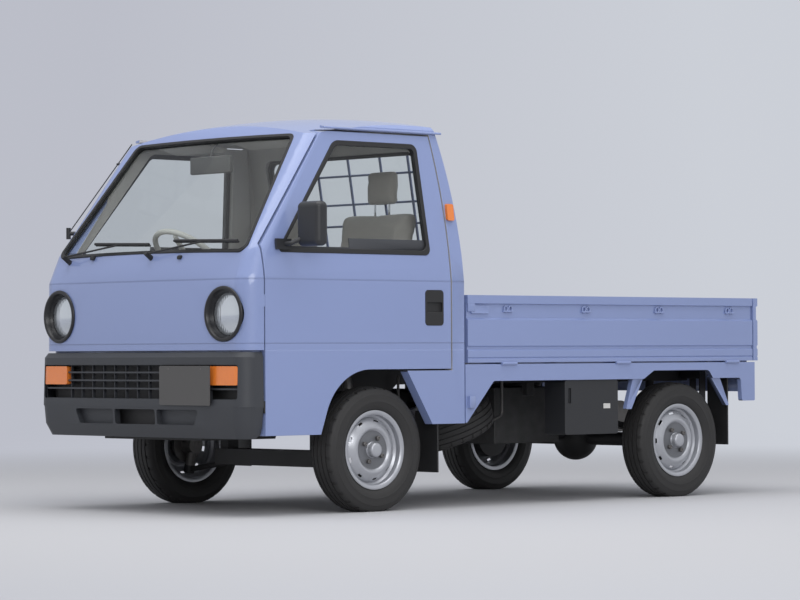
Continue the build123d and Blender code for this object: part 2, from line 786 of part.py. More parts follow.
def make_bumper_grille():
    """Three long slats with dividers behind them, on a flange behind the bumper's wall."""
    flange_zone = grille_opening(GRILLE_FLANGE) - grille_opening(-2)
    low = GRILLE_LOW_Z - GRILLE_FLANGE
    high = GRILLE_TOP_Z + GRILLE_FLANGE
    flange = grille_skin(BUMPER_WALL + SEAT, 6, low, high) & flange_zone
    inside = block(
        (-GRILLE_HALF - 4, GRILLE_HALF + 4),
        (FRONT_Y - 20, FRONT_Y + 130),
        (GRILLE_LOW_Z - 4, GRILLE_TOP_Z + 4),
    )
    bars = None
    for z in SLAT_Z:
        slat = grille_skin(SLAT_RECESS, SLAT_DEPTH, z - SLAT_HEIGHT / 2, z + SLAT_HEIGHT / 2)
        bars = slat if bars is None else bars + slat
    divider_skin = grille_skin(SLAT_RECESS + 8, SLAT_DEPTH - 8, GRILLE_LOW_Z - 4, GRILLE_TOP_Z + 4)
    for index in range(DIVIDER_COUNT):
        x = (index - (DIVIDER_COUNT - 1) / 2) * DIVIDER_PITCH
        slice_zone = block((x - 2, x + 2), (FRONT_Y - 50, 0), (GRILLE_LOW_Z - 4, GRILLE_TOP_Z + 4))
        bars += divider_skin & slice_zone
    grille = flange + (bars & inside)
    for side in (-1, 1):
        grille -= turn_lamp_zone(side, SEAT)
    return grille


def make_number_plate():
    """A blank plate on two bosses, offset to the vehicle's left."""
    face = Pos(PLATE_CENTRE_X, PLATE_CENTRE_Z) * RectangleRounded(PLATE_WIDTH, PLATE_HEIGHT, 8)
    plate = front_prism(face, FRONT_Y, FRONT_Y + PLATE_THICKNESS)
    for x in (-PLATE_BOLT_PITCH / 2, PLATE_BOLT_PITCH / 2):
        boss = Pos(PLATE_CENTRE_X + x, PLATE_BOSS_Z) * Circle(9)
        plate += front_prism(boss, FRONT_Y + 1, FRONT_Y + 20) - bumper_form(-SEAT)
        hole = Pos(PLATE_CENTRE_X + x, PLATE_BOLT_Z) * Circle(PLATE_BOLT_RADIUS)
        plate -= front_prism(hole, FRONT_Y - 5, FRONT_Y + PLATE_THICKNESS + 0.5)
    return plate


def lamp_plane(side):
    """Plane of a headlamp: square to the bowed front panel, looking forward."""
    x, y, z = lamp_places()[0 if side < 0 else 1]
    turn = side * LAMP_TURN
    return Plane((x, y, z), x_dir=(cos(radians(turn)), sin(radians(turn)), 0), z_dir=(-sin(radians(-turn)), -cos(radians(turn)), 0))


def lamp_revolve(side, points):
    """Revolve a (radius, forward) outline about a headlamp's axis."""
    face = make_face(Polyline(*points, close=True))
    upright = Plane.XZ * face
    solid = revolve(upright, Axis.Z, 360)
    return lamp_plane(side).location * solid


def make_headlamp_bezel(side):
    """A deep black dish with a flange on the panel."""
    points = (
        (BEZEL_RADIUS - 12.5, -BEZEL_DEPTH),
        (BEZEL_RADIUS - 12.5, -1),
        (BEZEL_RADIUS - 12.5, SEAT),
        (BEZEL_RADIUS, SEAT),
        (BEZEL_RADIUS - 2, BEZEL_PROUD - 3),
        (BEZEL_RADIUS - 8, BEZEL_PROUD),
        (BEZEL_RADIUS - 13, BEZEL_PROUD),
        (BEZEL_MOUTH_RADIUS, -LENS_RECESS + 2),
        (LENS_RADIUS + SEAT, -LENS_RECESS),
        (LENS_RADIUS + SEAT, -BEZEL_DEPTH),
    )
    x, y, z = lamp_places()[0 if side < 0 else 1]
    hole = rod((x, y - 60, z), (x, y + 80, z), BEZEL_RADIUS - 10)
    return lamp_revolve(side, points) - (cab_form(-SEAT) - hole)


def make_headlamp(side):
    """Domed lens and bowl as one closed solid."""
    points = (
        (0, -LENS_RECESS + 15),
        (30, -LENS_RECESS + 13.5),
        (60, -LENS_RECESS + 8),
        (LENS_RADIUS, -LENS_RECESS - 2),
        (LENS_RADIUS, -BEZEL_DEPTH + 2),
        (60, -BEZEL_DEPTH - 24),
        (0, -BEZEL_DEPTH - 30),
    )
    return lamp_revolve(side, points)


def make_front_turn_lamp(side):
    """Amber lamp at the end of the grille, its face a little behind the bumper's."""
    return turn_lamp_zone(side) & (bumper_form(3) - bumper_form(34))


def make_side_marker(side):
    """Amber marker on the pillar behind the door."""
    face = Pos(MARKER_Y, MARKER_Z) * RectangleRounded(MARKER_WIDTH, MARKER_HEIGHT, 9)
    marker = side_prism(face, 500, WIDTH) & (cab_form(-MARKER_PROUD) - cab_form(-SEAT))
    return marker if side > 0 else mirror(marker, Plane.YZ)


def make_tail_lamp(side):
    """Rear lamp in its pocket of the rear beam."""
    x = side * TAIL_LAMP_X
    face = Pos(x, TAIL_LAMP_Z) * RectangleRounded(TAIL_LAMP_WIDTH, TAIL_LAMP_HEIGHT, 10)
    return front_prism(face, REAR_BEAM_Y - TAIL_LAMP_DEPTH, REAR_BEAM_Y + TAIL_LAMP_PROUD)


def make_signal_lamps():
    """All turn, marker and tail lamps."""
    lamps = []
    for side in (-1, 1):
        lamps += [make_front_turn_lamp(side), make_side_marker(side), make_tail_lamp(side)]
    return lamps


def make_wiper(pivot_x, blade_start_x, blade_end_x):
    """Spindle, arm and blade, parked along the foot of the windscreen."""
    up = SCREEN_PLANE.z_dir
    pivot = SCREEN_PLANE.from_local_coords((pivot_x, WIPER_PIVOT_LOW, 0))
    cap = pivot + up * WIPER_STAND_OFF
    low = SCREEN_PLANE.from_local_coords((blade_start_x, WIPER_BLADE_LOW, WIPER_STAND_OFF))
    high = SCREEN_PLANE.from_local_coords((blade_end_x, WIPER_BLADE_LOW - 14, WIPER_STAND_OFF))
    middle = (low + high) / 2
    arm = rod(cap, middle, 4)
    blade = rod(low, high, 6)
    rubber_low = low - up * 9
    rubber_high = high - up * 9
    spindle = rod(cap - up * WIPER_SPINDLE, cap + up * 8, 11) - cab_form(-SEAT)
    return spindle + arm + blade + rod(rubber_low, rubber_high, 4.5)


def make_antenna():
    """Aerial along the right windscreen pillar, on an oval base."""
    base = Vector(*AERIAL_BASE)
    clip = Vector(*AERIAL_CLIP)
    tip = clip + (clip - base) * AERIAL_REACH
    aerial = rod(base, tip, 2.5)
    foot = Pos(*AERIAL_BASE) * Cylinder(10, 50) + rod(base, base + Vector(46, 50, 0), 9)
    stay = rod(clip - Vector(4, 1.5, 0), clip + Vector(40, 16, 0), 5)
    return (aerial + foot + stay) - cab_form(-SEAT)


def make_dashboard():
    """Dash moulding across the cab, with the steering column through it."""
    profile = (
        (-1560, 880),
        (-1560, 1066),
        (-1400, 1084),
        (-1300, 1062),
        (-1258, 1016),
        (-1276, 930),
        (-1330, 872),
    )
    half = HALF_WIDTH - DOOR_THICKNESS - DASH_GAP - 8
    dash = side_prism(outline(profile, (8, 8, 30, 30, 20, 40, 20)), -half, half) 
    dash += side_prism(outline(BINNACLE, (2, 30, 40, 24, 30, 2)), BINNACLE_X[0], BINNACLE_X[1])
    for x, y, z in lamp_places():
        dash -= rod((x, y - 60, z), (x, LAMP_ROOM_Y, z), BEZEL_RADIUS)
    axis = steering_axis()
    start = Vector(STEERING_X, STEERING_Y, STEERING_Z) - axis * COLUMN_TOP
    column = rod(start - axis * COLUMN_LENGTH, start, 24)
    shroud = rod(start - axis * 230, start, 42)
    dash = dash + column + shroud
    front_room = cab_form(CAB_WALL + SEAT) & block((-WIDTH, WIDTH), (FRONT_Y, DASH_DOOR_Y), (FOOTWELL_Z, ROOF_Z))
    rear_room = cab_form(DOOR_THICKNESS + DASH_GAP) & block((-WIDTH, WIDTH), (FRONT_Y, 0), (FOOTWELL_Z, ROOF_Z))
    return dash & (front_room + rear_room)


def steering_axis():
    """Direction of the steering shaft, up towards the driver."""
    return Vector(0, sin(radians(STEERING_TILT)), cos(radians(STEERING_TILT)))


def make_steering_wheel():
    """Rim, two low spokes, padded hub and the short shaft into the column."""
    plane = Plane((STEERING_X, STEERING_Y, STEERING_Z), x_dir=(1, 0, 0), z_dir=steering_axis())
    ring = Torus(STEERING_RADIUS - STEERING_RIM, STEERING_RIM)
    hub = Pos(0, 0, -24) * Cylinder(46, 44)
    wheel = ring + hub
    for turn in (20, 160):
        spoke = Rot(0, 0, turn) * Pos(STEERING_RADIUS / 2 - 4, 0, -12) * Box(STEERING_RADIUS - 30, 38, 13)
        wheel += spoke
    wheel += Pos(0, 0, -46 - (COLUMN_TOP - 46) / 2 + SEAT / 2) * Cylinder(18, COLUMN_TOP - 46 - SEAT)
    return plane.location * wheel


def make_seats():
    """Two cushions, two backs and two headrests on their stalks."""
    cushion = (
        (-1085, SEAT_DECK_Z + SEAT),
        (-1100, 700),
        (-1085, 772),
        (-640, 752),
        (-640, SEAT_DECK_Z + SEAT),
    )
    back = (
        (-630, SEAT_DECK_Z + SEAT),
        (-624, 760),
        (-520, 1285),
        (-410, 1292),
        (-520, SEAT_DECK_Z + SEAT),
    )
    pieces = []
    for x in (-SEAT_X, SEAT_X):
        half = SEAT_HALF_WIDTH
        pieces.append(side_prism(outline(cushion, (6, 30, 40, 25, 6)), x - half, x + half))
        rest = side_prism(outline(back, (6, 15, 45, 40, 6)), x - half + 15, x + half - 15)
        head = Pos(x, HEADREST_Y, HEADREST_Z) * Box(195, 66, 175)
        head = fillet(head.edges(), 26)
        for stalk_x in (x - 45, x + 45):
            rest += rod((stalk_x, HEADREST_Y - 16, 1250), (stalk_x, HEADREST_Y, HEADREST_Z - 60), 5)
        pieces.append(rest + head)
    return pieces


def bed_side_outline():
    """The bed's skirt seen from the side, with the rear wheel's arch and the rear leg."""
    points = (
        (BED_FRONT_Y - 14, SKIRT_TOP_Z),
        (BED_FRONT_Y - 14, 366),
        (BED_FRONT_Y - 6, 366),
        (BED_FRONT_Y + 158, SKIRT_LOW_Z),
        (REAR_AXLE_Y - 274, SKIRT_LOW_Z),
        (REAR_AXLE_Y - 205, BED_ARCH_TOP_Z),
        (REAR_AXLE_Y + 170, BED_ARCH_TOP_Z),
        (REAR_AXLE_Y + 200, SKIRT_LOW_Z),
        (REAR_LEG_FRONT_Y, SKIRT_LOW_Z),
        (REAR_LEG_FRONT_Y + 8, REAR_LEG_LOW_Z),
        (REAR_BEAM_Y, REAR_LEG_LOW_Z),
        (REAR_BEAM_Y, SKIRT_TOP_Z),
    )
    radii = (0, 0, 6, 22, 8, 24, 30, 6, 20, 10, 6, 0)
    return outline(points, radii)


def make_bed():
    """Ribbed deck on cross sills, side rails with skirts, wheel-arch stays and the rear beam."""
    deck_half = HALF_WIDTH - GATE_THICKNESS - PANEL_GAP
    deck_rear = REAR_Y - GATE_THICKNESS - PANEL_GAP
    deck = block((-deck_half, deck_half), (BED_FRONT_Y, deck_rear), (DECK_TOP_Z - DECK_THICKNESS, DECK_TOP_Z))
    groove_count = int(2 * (deck_half - 40) / DECK_RIB_PITCH)
    for index in range(groove_count):
        x = (index - (groove_count - 1) / 2) * DECK_RIB_PITCH
        deck -= block((x - DECK_GROOVE / 2, x + DECK_GROOVE / 2), (BED_FRONT_Y + 40, deck_rear - 30), (DECK_TOP_Z - 6, DECK_TOP_Z + 1))
    rebate_y = BED_FRONT_Y + HEADBOARD_THICKNESS + SEAT
    deck -= block((-WIDTH, WIDTH), (BED_FRONT_Y - 1, rebate_y), (DECK_TOP_Z - HEADBOARD_REBATE, DECK_TOP_Z + 1))
    bed = deck
    inner = HALF_WIDTH - SKIRT_THICKNESS
    for sign in (-1, 1):
        low, high = sorted((sign * inner, sign * HALF_WIDTH))
        bed += side_prism(bed_side_outline(), low, high)
        low, high = sorted((sign * (deck_half - 30), sign * HALF_WIDTH))
        bed += block((low, high), (BED_FRONT_Y, REAR_BEAM_Y), (SKIRT_TOP_Z - 20, SKIRT_TOP_Z))
        low, high = sorted((sign * (deck_half - 30), sign * deck_half))
        bed += block((low, high), (BED_FRONT_Y, deck_rear), (SKIRT_TOP_Z - 20, DECK_TOP_Z - DECK_THICKNESS + 1))
    for y in SILL_Y:
        bed += block((-inner, inner), (y - SILL_WIDTH / 2, y + SILL_WIDTH / 2), (FRAME_TOP_Z + SEAT, DECK_TOP_Z - DECK_THICKNESS + 1))
    beam = block((-inner, inner), (REAR_BEAM_Y - REAR_BEAM_DEPTH, REAR_BEAM_Y), (REAR_BEAM_LOW_Z, SKIRT_TOP_Z))
    beam += block((-inner, inner), (REAR_BEAM_Y - REAR_BEAM_DEPTH, REAR_BEAM_Y), (SKIRT_TOP_Z - 20, DECK_TOP_Z - DECK_THICKNESS + 1)) & block((-deck_half, deck_half), (0, deck_rear), (0, 900))
    bed += beam
    stay_rows = (
        ((-335, 540), (-267, 540), (-345, 409), (-380, 409)),
        ((192, 548), (255, 548), (324, 417), (304, 417)),
    )
    for row in stay_rows:
        points = [(REAR_AXLE_Y + y, z + 8 if z > 500 else z) for y, z in row]
        for low, high in ((-inner - 12, -inner + 10), (inner - 10, inner + 12)):
            bed += side_prism(outline(points, 4), low, high)
    for side in (-1, 1):
        pocket = front_prism(
            Pos(side * TAIL_LAMP_X, TAIL_LAMP_Z)
            * RectangleRounded(TAIL_LAMP_WIDTH + 2 * SEAT, TAIL_LAMP_HEIGHT + 2 * SEAT, 10 + SEAT),
            REAR_BEAM_Y - TAIL_LAMP_DEPTH - SEAT,
            REAR_BEAM_Y + 1,
        )
        bed -= pocket
    for y in GATE_HINGE_Y:
        for side in (-1, 1):
            x = side * (HALF_WIDTH + GATE_AXIS_OUT)
            bed -= rod((x, y - HINGE_LENGTH / 2 - 3, GATE_AXIS_Z), (x, y + HINGE_LENGTH / 2 + 3, GATE_AXIS_Z), HINGE_RADIUS + SLIDE_GAP)
    for x in TAILGATE_HINGE_X:
        y = REAR_Y + GATE_AXIS_OUT
        bed += block((x - 40, x + 40), (REAR_BEAM_Y - 1, REAR_Y), (GATE_AXIS_Z - 26, GATE_AXIS_Z - 2))
        bed -= rod((x - HINGE_LENGTH / 2 - 3, y, GATE_AXIS_Z), (x + HINGE_LENGTH / 2 + 3, y, GATE_AXIS_Z), HINGE_RADIUS + SLIDE_GAP)
    stop = block((HALF_WIDTH - 2, HALF_WIDTH + STOP_PROUD), (STOP_Y - 17, STOP_Y + 17), (STOP_Z - 25, STOP_Z + 25))
    for piece in both_sides(stop):
        bed += piece
    return bed


def make_headboard():
    """The bed's front wall, as high as the drop sides."""
    top = GATE_LOW_Z + GATE_HEIGHT
    foot = DECK_TOP_Z - HEADBOARD_REBATE + SEAT
    rear_y = BED_FRONT_Y + HEADBOARD_THICKNESS
    wall = block((-HEADBOARD_HALF, HEADBOARD_HALF), (BED_FRONT_Y, rear_y), (foot, top))
    for low, high in HEADBOARD_PANELS:
        wall -= block((-HEADBOARD_HALF + 60, HEADBOARD_HALF - 60), (rear_y - 6, rear_y + 1), (low, high))
    return wall


def make_window_guard():
    """Bars behind the rear window, on four feet."""
    low = Vector(0, CAB_REAR_Y + 28, GUARD_LOW_Z)
    high = Vector(0, CAB_REAR_Y - 52, GUARD_TOP_Z)
    bars = []
    guard = None
    for x in (-GUARD_HALF, *GUARD_BAR_X, GUARD_HALF):
        bar = rod(low + Vector(x, 0, 0), high + Vector(x, 0, 0), 6)
        bars.append(bar)
    for z in (GUARD_LOW_Z, *GUARD_BAR_Z, GUARD_TOP_Z):
        share = (z - GUARD_LOW_Z) / (GUARD_TOP_Z - GUARD_LOW_Z)
        place = low + (high - low) * share
        bars.append(rod(place + Vector(-GUARD_HALF, 0, 0), place + Vector(GUARD_HALF, 0, 0), 5))
    for x in (-GUARD_HALF, GUARD_HALF):
        for share in (0.04, 0.96):
            place = low + (high - low) * share + Vector(x, 0, 0)
            bars.append(rod(place, place - Vector(0, 60, 0), 9) - cab_form(-SEAT))
    guard = bars[0]
    for bar in bars[1:]:
        guard += bar
    return guard


def gate_profile():
    """A drop side in section: (outward, height), outer face at zero."""
    top = GATE_HEIGHT
    band = top - RAIL_BAND_HEIGHT
    foot = band - RECESS_HEIGHT
    points = [
        (-GATE_THICKNESS, 0),
        (0, 0),
        (0, 16),
        (-4, 20),
        (0, 24),
        (0, 53),
        (-6, 58),
        (-6, 68),
        (0, 73),
        (0, foot - 4),
        (-RECESS_DEPTH, foot + 4),
        (-RECESS_DEPTH, band - 4),
        (0, band),
        (0, top),
        (-GATE_THICKNESS, top),
    ]
    return make_face(Polyline(*points, close=True))


def make_gate(length, hinges):
    """A drop side along +X from the origin, its outer face on the XZ plane, with hinge barrels at its foot."""
    face = gate_profile()
    plane = Plane((0, 0, 0), x_dir=(0, -1, 0), z_dir=(-1, 0, 0))
    gate = extrude(plane * face, amount=-length)
    axis_y = -GATE_AXIS_OUT
    axis_z = GATE_AXIS_Z - GATE_LOW_Z
    for x in hinges:
        gate += rod((x - HINGE_LENGTH / 2, axis_y, axis_z), (x + HINGE_LENGTH / 2, axis_y, axis_z), HINGE_RADIUS)
    return gate


def make_gate_left():
    """The left drop side in its place."""
    hinges = [y - SIDE_GATE_FRONT_Y for y in GATE_HINGE_Y]
    gate = make_gate(SIDE_GATE_REAR_Y - SIDE_GATE_FRONT_Y, hinges)
    return Location((HALF_WIDTH, SIDE_GATE_FRONT_Y, GATE_LOW_Z), (0, 0, 90)) * gate


def make_gate_right():
    """The right drop side."""
    return mirror(make_gate_left(), Plane.YZ)


def make_tailgate():
    """The tailgate across the rear."""
    hinges = [x + TAILGATE_HALF for x in TAILGATE_HINGE_X]
    gate = make_gate(2 * TAILGATE_HALF, hinges)
    return Location((TAILGATE_HALF, REAR_Y, GATE_LOW_Z), (0, 0, 180)) * gate


def make_chassis_frame():
    """Two rails that drop under the footwell, with cross members and mounting pads."""
    points = (
        (FRAME_FRONT_Y, FRAME_NOSE_Z),
        (-1090, FRAME_NOSE_Z),
        (-1030, FRAME_CAB_Z),
        (-420, FRAME_CAB_Z),
        (-390, FRAME_LOW_Z),
        (REAR_BEAM_Y - REAR_BEAM_DEPTH - 4, FRAME_LOW_Z),
        (REAR_BEAM_Y - REAR_BEAM_DEPTH - 4, FRAME_TOP_Z),
        (CAB_REAR_Y + 30, FRAME_TOP_Z),
        (CAB_REAR_Y + 20, FRAME_CAB_Z + 90),
        (-1120, FRAME_CAB_Z + 90),
        (-1144, FRAME_NOSE_Z + 90),
        (FRAME_FRONT_Y, FRAME_NOSE_Z + 90),
    )
    frame = None
    for x in (-FRAME_HALF, FRAME_HALF):
        rail = side_prism(outline(points), x - FRAME_WIDTH / 2, x + FRAME_WIDTH / 2)
        frame = rail if frame is None else frame + rail
    inner = FRAME_HALF - FRAME_WIDTH / 2 + 1
    for y, z0, z1 in FRAME_CROSS:
        frame += block((-inner, inner), (y - 25, y + 25), (z0, z1))
    for y, z0, z1 in FRAME_PADS:
        for x in (-FRAME_HALF, FRAME_HALF):
            frame += Pos(x, y, (z0 + z1) / 2) * Cylinder(24, z1 - z0)
    for y in SPRING_EYES_Y:
        for side in (-1, 1):
            low, high = sorted((side * (FRAME_HALF + FRAME_WIDTH / 2 - 1), side * (SPRING_X + 32)))
            frame += block((low, high), (y - 20, y + 20), (FRAME_LOW_Z + 10, FRAME_LOW_Z + 50))
            for x in (side * (SPRING_X + 30), side * (SPRING_X - 30)):
                frame += block((x - 3, x + 3), (y - 20, y + 20), (SPRING_EYE_Z - 16, FRAME_LOW_Z + 50))
    return frame


def make_engine():
    """The engine and gearbox as one plain block, with its mounting arms on the rails."""
    body = block((-230, 240), (300, ENGINE_REAR_Y), (252, 510))
    arms = block((-FRAME_HALF + FRAME_WIDTH / 2 + SEAT, FRAME_HALF - FRAME_WIDTH / 2 - SEAT), (480, 530), (470, 570))
    return body + arms


def make_fuel_tank():
    """Fuel tank under the right of the bed, hung on two straps."""
    tank = block((-640, -390), (-120, 420), (290, 500))
    tank = fillet(tank.edges().filter_by(Axis.Y), 30)
    for y in (-60, 350):
        tank += block((-622, -600), (y, y + 24), (480, DECK_TOP_Z - DECK_THICKNESS - SEAT))
        tank += block((-410, -390), (y, y + 24), (480, DECK_TOP_Z - DECK_THICKNESS - SEAT))
    return tank


def make_tool_box():
    """Closed box under the left of the bed with a slot handle in its lid."""
    box = block((560, TOOL_BOX_X), (300, 644), (300, 545))
    box = fillet(box.edges().filter_by(Axis.X), 14)
    box -= block((TOOL_BOX_X - 10, TOOL_BOX_X + 5), (322, 340), (440, 508))
    for y in (360, 580):
        box += block((590, 620), (y, y + 24), (540, DECK_TOP_Z - DECK_THICKNESS - SEAT))
    return box


def make_exhaust():
    """Silencer across the rear with its pipe from the engine."""
    silencer = rod((-390, 1330, 360), (60, 1330, 360), 75)
    pipe = bent_rod(((-150, PIPE_START_Y, 330), (-150, 960, 360), (-150, 1180, 400), (-150, 1290, 380)), 22, 60)
    tail = bent_rod(((-360, 1360, 330), (-360, 1480, 330), (-430, 1585, 320)), 20, 50)
    body = silencer + pipe + tail
    for x in (-346, -20):
        body += block((x - 8, x + 8), (1322, 1338), (420, DECK_TOP_Z - DECK_THICKNESS - SEAT))
    return body


def wheel_outline_tyre():
    """Half section of a tyre: (axial, radius)."""
    w = TYRE_HALF_WIDTH
    bead = RIM_HALF_WIDTH - RIM_WALL - SEAT
    return (
        (-bead, BEAD_RADIUS + SEAT),
        (-bead, RIM_FLANGE_RADIUS + SEAT),
        (-RIM_HALF_WIDTH - 2, RIM_FLANGE_RADIUS + SEAT),
        (-w, 206),
        (-w + 2, 232),
        (-w + 10, 258),
        (-w + 22, TYRE_RADIUS - 3),
        (0, TYRE_RADIUS),
        (w - 22, TYRE_RADIUS - 3),
        (w - 10, 258),
        (w - 2, 232),
        (w, 206),
        (RIM_HALF_WIDTH + 2, RIM_FLANGE_RADIUS + SEAT),
        (bead, RIM_FLANGE_RADIUS + SEAT),
        (bead, BEAD_RADIUS + SEAT),
    )


def tyre_solid():
    """A tyre about the X axis."""
    face = make_face(Polyline(*wheel_outline_tyre(), close=True))
    return revolve(Plane.XZ * face, Axis.X, 360)


def rim_solid():
    """Pressed steel wheel about the X axis, its dish facing +X."""
    w = RIM_HALF_WIDTH
    t = RIM_WALL
    barrel = (
        (-w, RIM_FLANGE_RADIUS),
        (-w + 5, RIM_FLANGE_RADIUS),
        (-w + 5, BEAD_RADIUS),
        (-18, BEAD_RADIUS - 3),
        (-10, 136),
        (14, 136),
        (22, BEAD_RADIUS - 3),
        (w - 5, BEAD_RADIUS),
        (w - 5, RIM_FLANGE_RADIUS),
        (w, RIM_FLANGE_RADIUS),
        (w, BEAD_RADIUS - t),
        (24, BEAD_RADIUS - 3 - t),
        (16, 131),
        (-12, 131),
        (-20, BEAD_RADIUS - 3 - t),
        (-w, BEAD_RADIUS - t),
    )
    disc = (
        (4, 131.5),
        (20, 131.5),
        (34, 118),
        (46, 100),
        (46, 90),
        (38, 82),
        (DISC_FACE + t, 76),
        (DISC_FACE + t, HUB_BORE_RADIUS),
        (DISC_FACE, HUB_BORE_RADIUS),
        (DISC_FACE, 78),
        (33, 84),
        (40, 92),
        (40, 98),
        (29, 114),
        (16, 126),
        (4, 126),
    )
    rim = revolve(Plane.XZ * make_face(Polyline(*barrel, close=True)), Axis.X, 360)
    rim += revolve(Plane.XZ * make_face(Polyline(*disc, close=True)), Axis.X, 360)
    for index in range(DISC_WINDOWS):
        turn = 360 * (index + 0.5) / DISC_WINDOWS
        window = Rot(turn, 0, 0) * Pos(30, 0, 118) * Rot(0, 45, 0) * Box(60, 30, 15)
        rim -= window
    cap = Pos(DISC_FACE + t + 17, 0, 0) * Rot(0, 90, 0) * Cylinder(36, 36)
    return rim + fillet(cap.edges(), 8)


def place_wheel(solid, x, y, z=AXLE_Z):
    """Put a wheel's piece at a corner, its dish outwards."""
    return Location((x, y, z), (0, 0, 0 if x > 0 else 180)) * solid


def kingpin(side):
    """Lower and upper points of the steering axis."""
    low = Vector(side * KINGPIN_LOW_X, FRONT_AXLE_Y, KINGPIN_LOW_Z)
    top = Vector(side * KINGPIN_TOP_X, FRONT_AXLE_Y, KINGPIN_TOP_Z)
    return low, top


def make_knuckle(side):
    """Steering knuckle: strut tube on the steering axis, spindle, hub and brake disc."""
    low, top = kingpin(side)
    along = (top - low).normalized()
    post = rod(low, top, STRUT_RADIUS)
    at_axle = low + along * ((AXLE_Z - KINGPIN_LOW_Z) / along.Z)
    x0 = side * (WHEEL_X + DISC_FACE - SEAT)
    spindle = rod((at_axle.X - side * 20, FRONT_AXLE_Y, AXLE_Z), (x0, FRONT_AXLE_Y, AXLE_Z), 38)
    pin = rod((x0 - side * 4, FRONT_AXLE_Y, AXLE_Z), (x0 + side * HUB_PIN_REACH, FRONT_AXLE_Y, AXLE_Z), HUB_BORE_RADIUS - SLIDE_GAP)
    disc = rod((x0 - side * 40, FRONT_AXLE_Y, AXLE_Z), (x0 - side * 30, FRONT_AXLE_Y, AXLE_Z), 78)
    hub = rod((x0 - side * 32, FRONT_AXLE_Y, AXLE_Z), (x0, FRONT_AXLE_Y, AXLE_Z), 62)
    return post + spindle + pin + disc + hub


def make_front_suspension():
    """Cross member, posts to the frame rails, lower arms with their cups and the strut tops."""
    body = block((-340, 340), (FRONT_AXLE_Y - 50, FRONT_AXLE_Y + 50), (180, 250))
    for side in (-1, 1):
        low, top = kingpin(side)
        along = (top - low).normalized()
        x = side * FRAME_HALF
        body += block((x - 26, x + 26), (FRONT_AXLE_Y - 30, FRONT_AXLE_Y + 30), (240, FRAME_CAB_Z - SEAT))
        cup = rod(low - along * 36, low - along * SEAT, 24)
        end = low - along * 24
        body += rod((side * 320, FRONT_AXLE_Y, 186), end, 12) + cup
        mount = rod(top + along * SEAT, top + along * 40, 36)
        body += mount - block((-WIDTH, WIDTH), (-2000, 0), (SEAT_DECK_Z - FLOOR_THICKNESS - SEAT, 900))
    return body


def make_rear_suspension():
    """Rear axle with its differential, drums, leaf springs and dampers."""
    drum_x = WHEEL_X + DISC_FACE - SEAT
    body = rod((-drum_x + 20, REAR_AXLE_Y, AXLE_Z), (drum_x - 20, REAR_AXLE_Y, AXLE_Z), 32)
    body += Pos(0, REAR_AXLE_Y, AXLE_Z) * Sphere(105)
    body += rod((0, REAR_AXLE_Y, AXLE_Z + 10), (0, SHAFT_START_Y, 300), 26)
    for side in (-1, 1):
        body += rod((side * (drum_x - 70), REAR_AXLE_Y, AXLE_Z), (side * drum_x, REAR_AXLE_Y, AXLE_Z), 100)
        pin_end = side * (drum_x + HUB_PIN_REACH)
        body += rod((side * (drum_x - 4), REAR_AXLE_Y, AXLE_Z), (pin_end, REAR_AXLE_Y, AXLE_Z), HUB_BORE_RADIUS - SLIDE_GAP)
        spring = leaf_spring()
        body += Pos(side * SPRING_X, 0, 0) * spring
        body += rod((side * SPRING_X, REAR_AXLE_Y + 34, AXLE_Z), (side * (SPRING_X - 60), REAR_AXLE_Y + 120, FRAME_LOW_Z - 1), 20)
    return body


def leaf_spring():
    """Bowed leaves with an eye at each end, above the axle."""
    y0, y1 = SPRING_EYES_Y
    middle = (y0 + y1) / 2
    sag = SPRING_EYE_Z - (AXLE_Z + 40)
    low = ThreePointArc((y0, SPRING_EYE_Z), (middle, SPRING_EYE_Z - sag), (y1, SPRING_EYE_Z))
    high = ThreePointArc((y1, SPRING_EYE_Z + 12), (middle, SPRING_EYE_Z - sag + 30), (y0, SPRING_EYE_Z + 12))
    rear = Line((y1, SPRING_EYE_Z), (y1, SPRING_EYE_Z + 12))
    front = Line((y0, SPRING_EYE_Z + 12), (y0, SPRING_EYE_Z))
    face = make_face([low, rear, high, front])
    spring = side_prism(face, -25, 25)
    for y in (y0, y1):
        spring += rod((-SPRING_EYE_HALF, y, SPRING_EYE_Z), (SPRING_EYE_HALF, y, SPRING_EYE_Z), 14)
    spring += block((-30, 30), (REAR_AXLE_Y - 40, REAR_AXLE_Y + 40), (AXLE_Z + 20, AXLE_Z + 75))
    return spring


def make_spare_wheel():
    """Spare wheel slung under the front of the bed, rear edge up, on two wire hangers."""
    spare_plane = Location((SPARE_X, SPARE_Y, SPARE_Z), (SPARE_TILT, 0, 0)) * Location((0, 0, 0), (0, 90, 0))
    solid = tyre_solid() + rim_solid()
    return spare_plane * solid


def make_spare_carrier():
    """Two bent wires that cradle the spare wheel, from the frame's cross member to a bed sill."""
    tilt = radians(SPARE_TILT)
    drop = TYRE_HALF_WIDTH + CARRIER_RADIUS + SEAT
    middle = (SPARE_Y + drop * sin(tilt), SPARE_Z - drop * cos(tilt))
    front_y = FRAME_CROSS[2][0] + 25 + CARRIER_RADIUS + SEAT
    rear_y = SILL_Y[1]
    front_z = middle[1] + (front_y - middle[0]) * sin(tilt) / cos(tilt)
    rear_z = middle[1] + (rear_y - middle[0]) * sin(tilt) / cos(tilt)
    wires = []
    for x in (SPARE_X - 120, SPARE_X + 120):
        points = (
            (x, front_y, FRAME_CROSS[2][2] - 20),
            (x, front_y, front_z),
            (x, rear_y, rear_z),
            (x, rear_y, FRAME_TOP_Z),
        )
        wires.append(bent_rod(points, CARRIER_RADIUS, 24))
    return wires


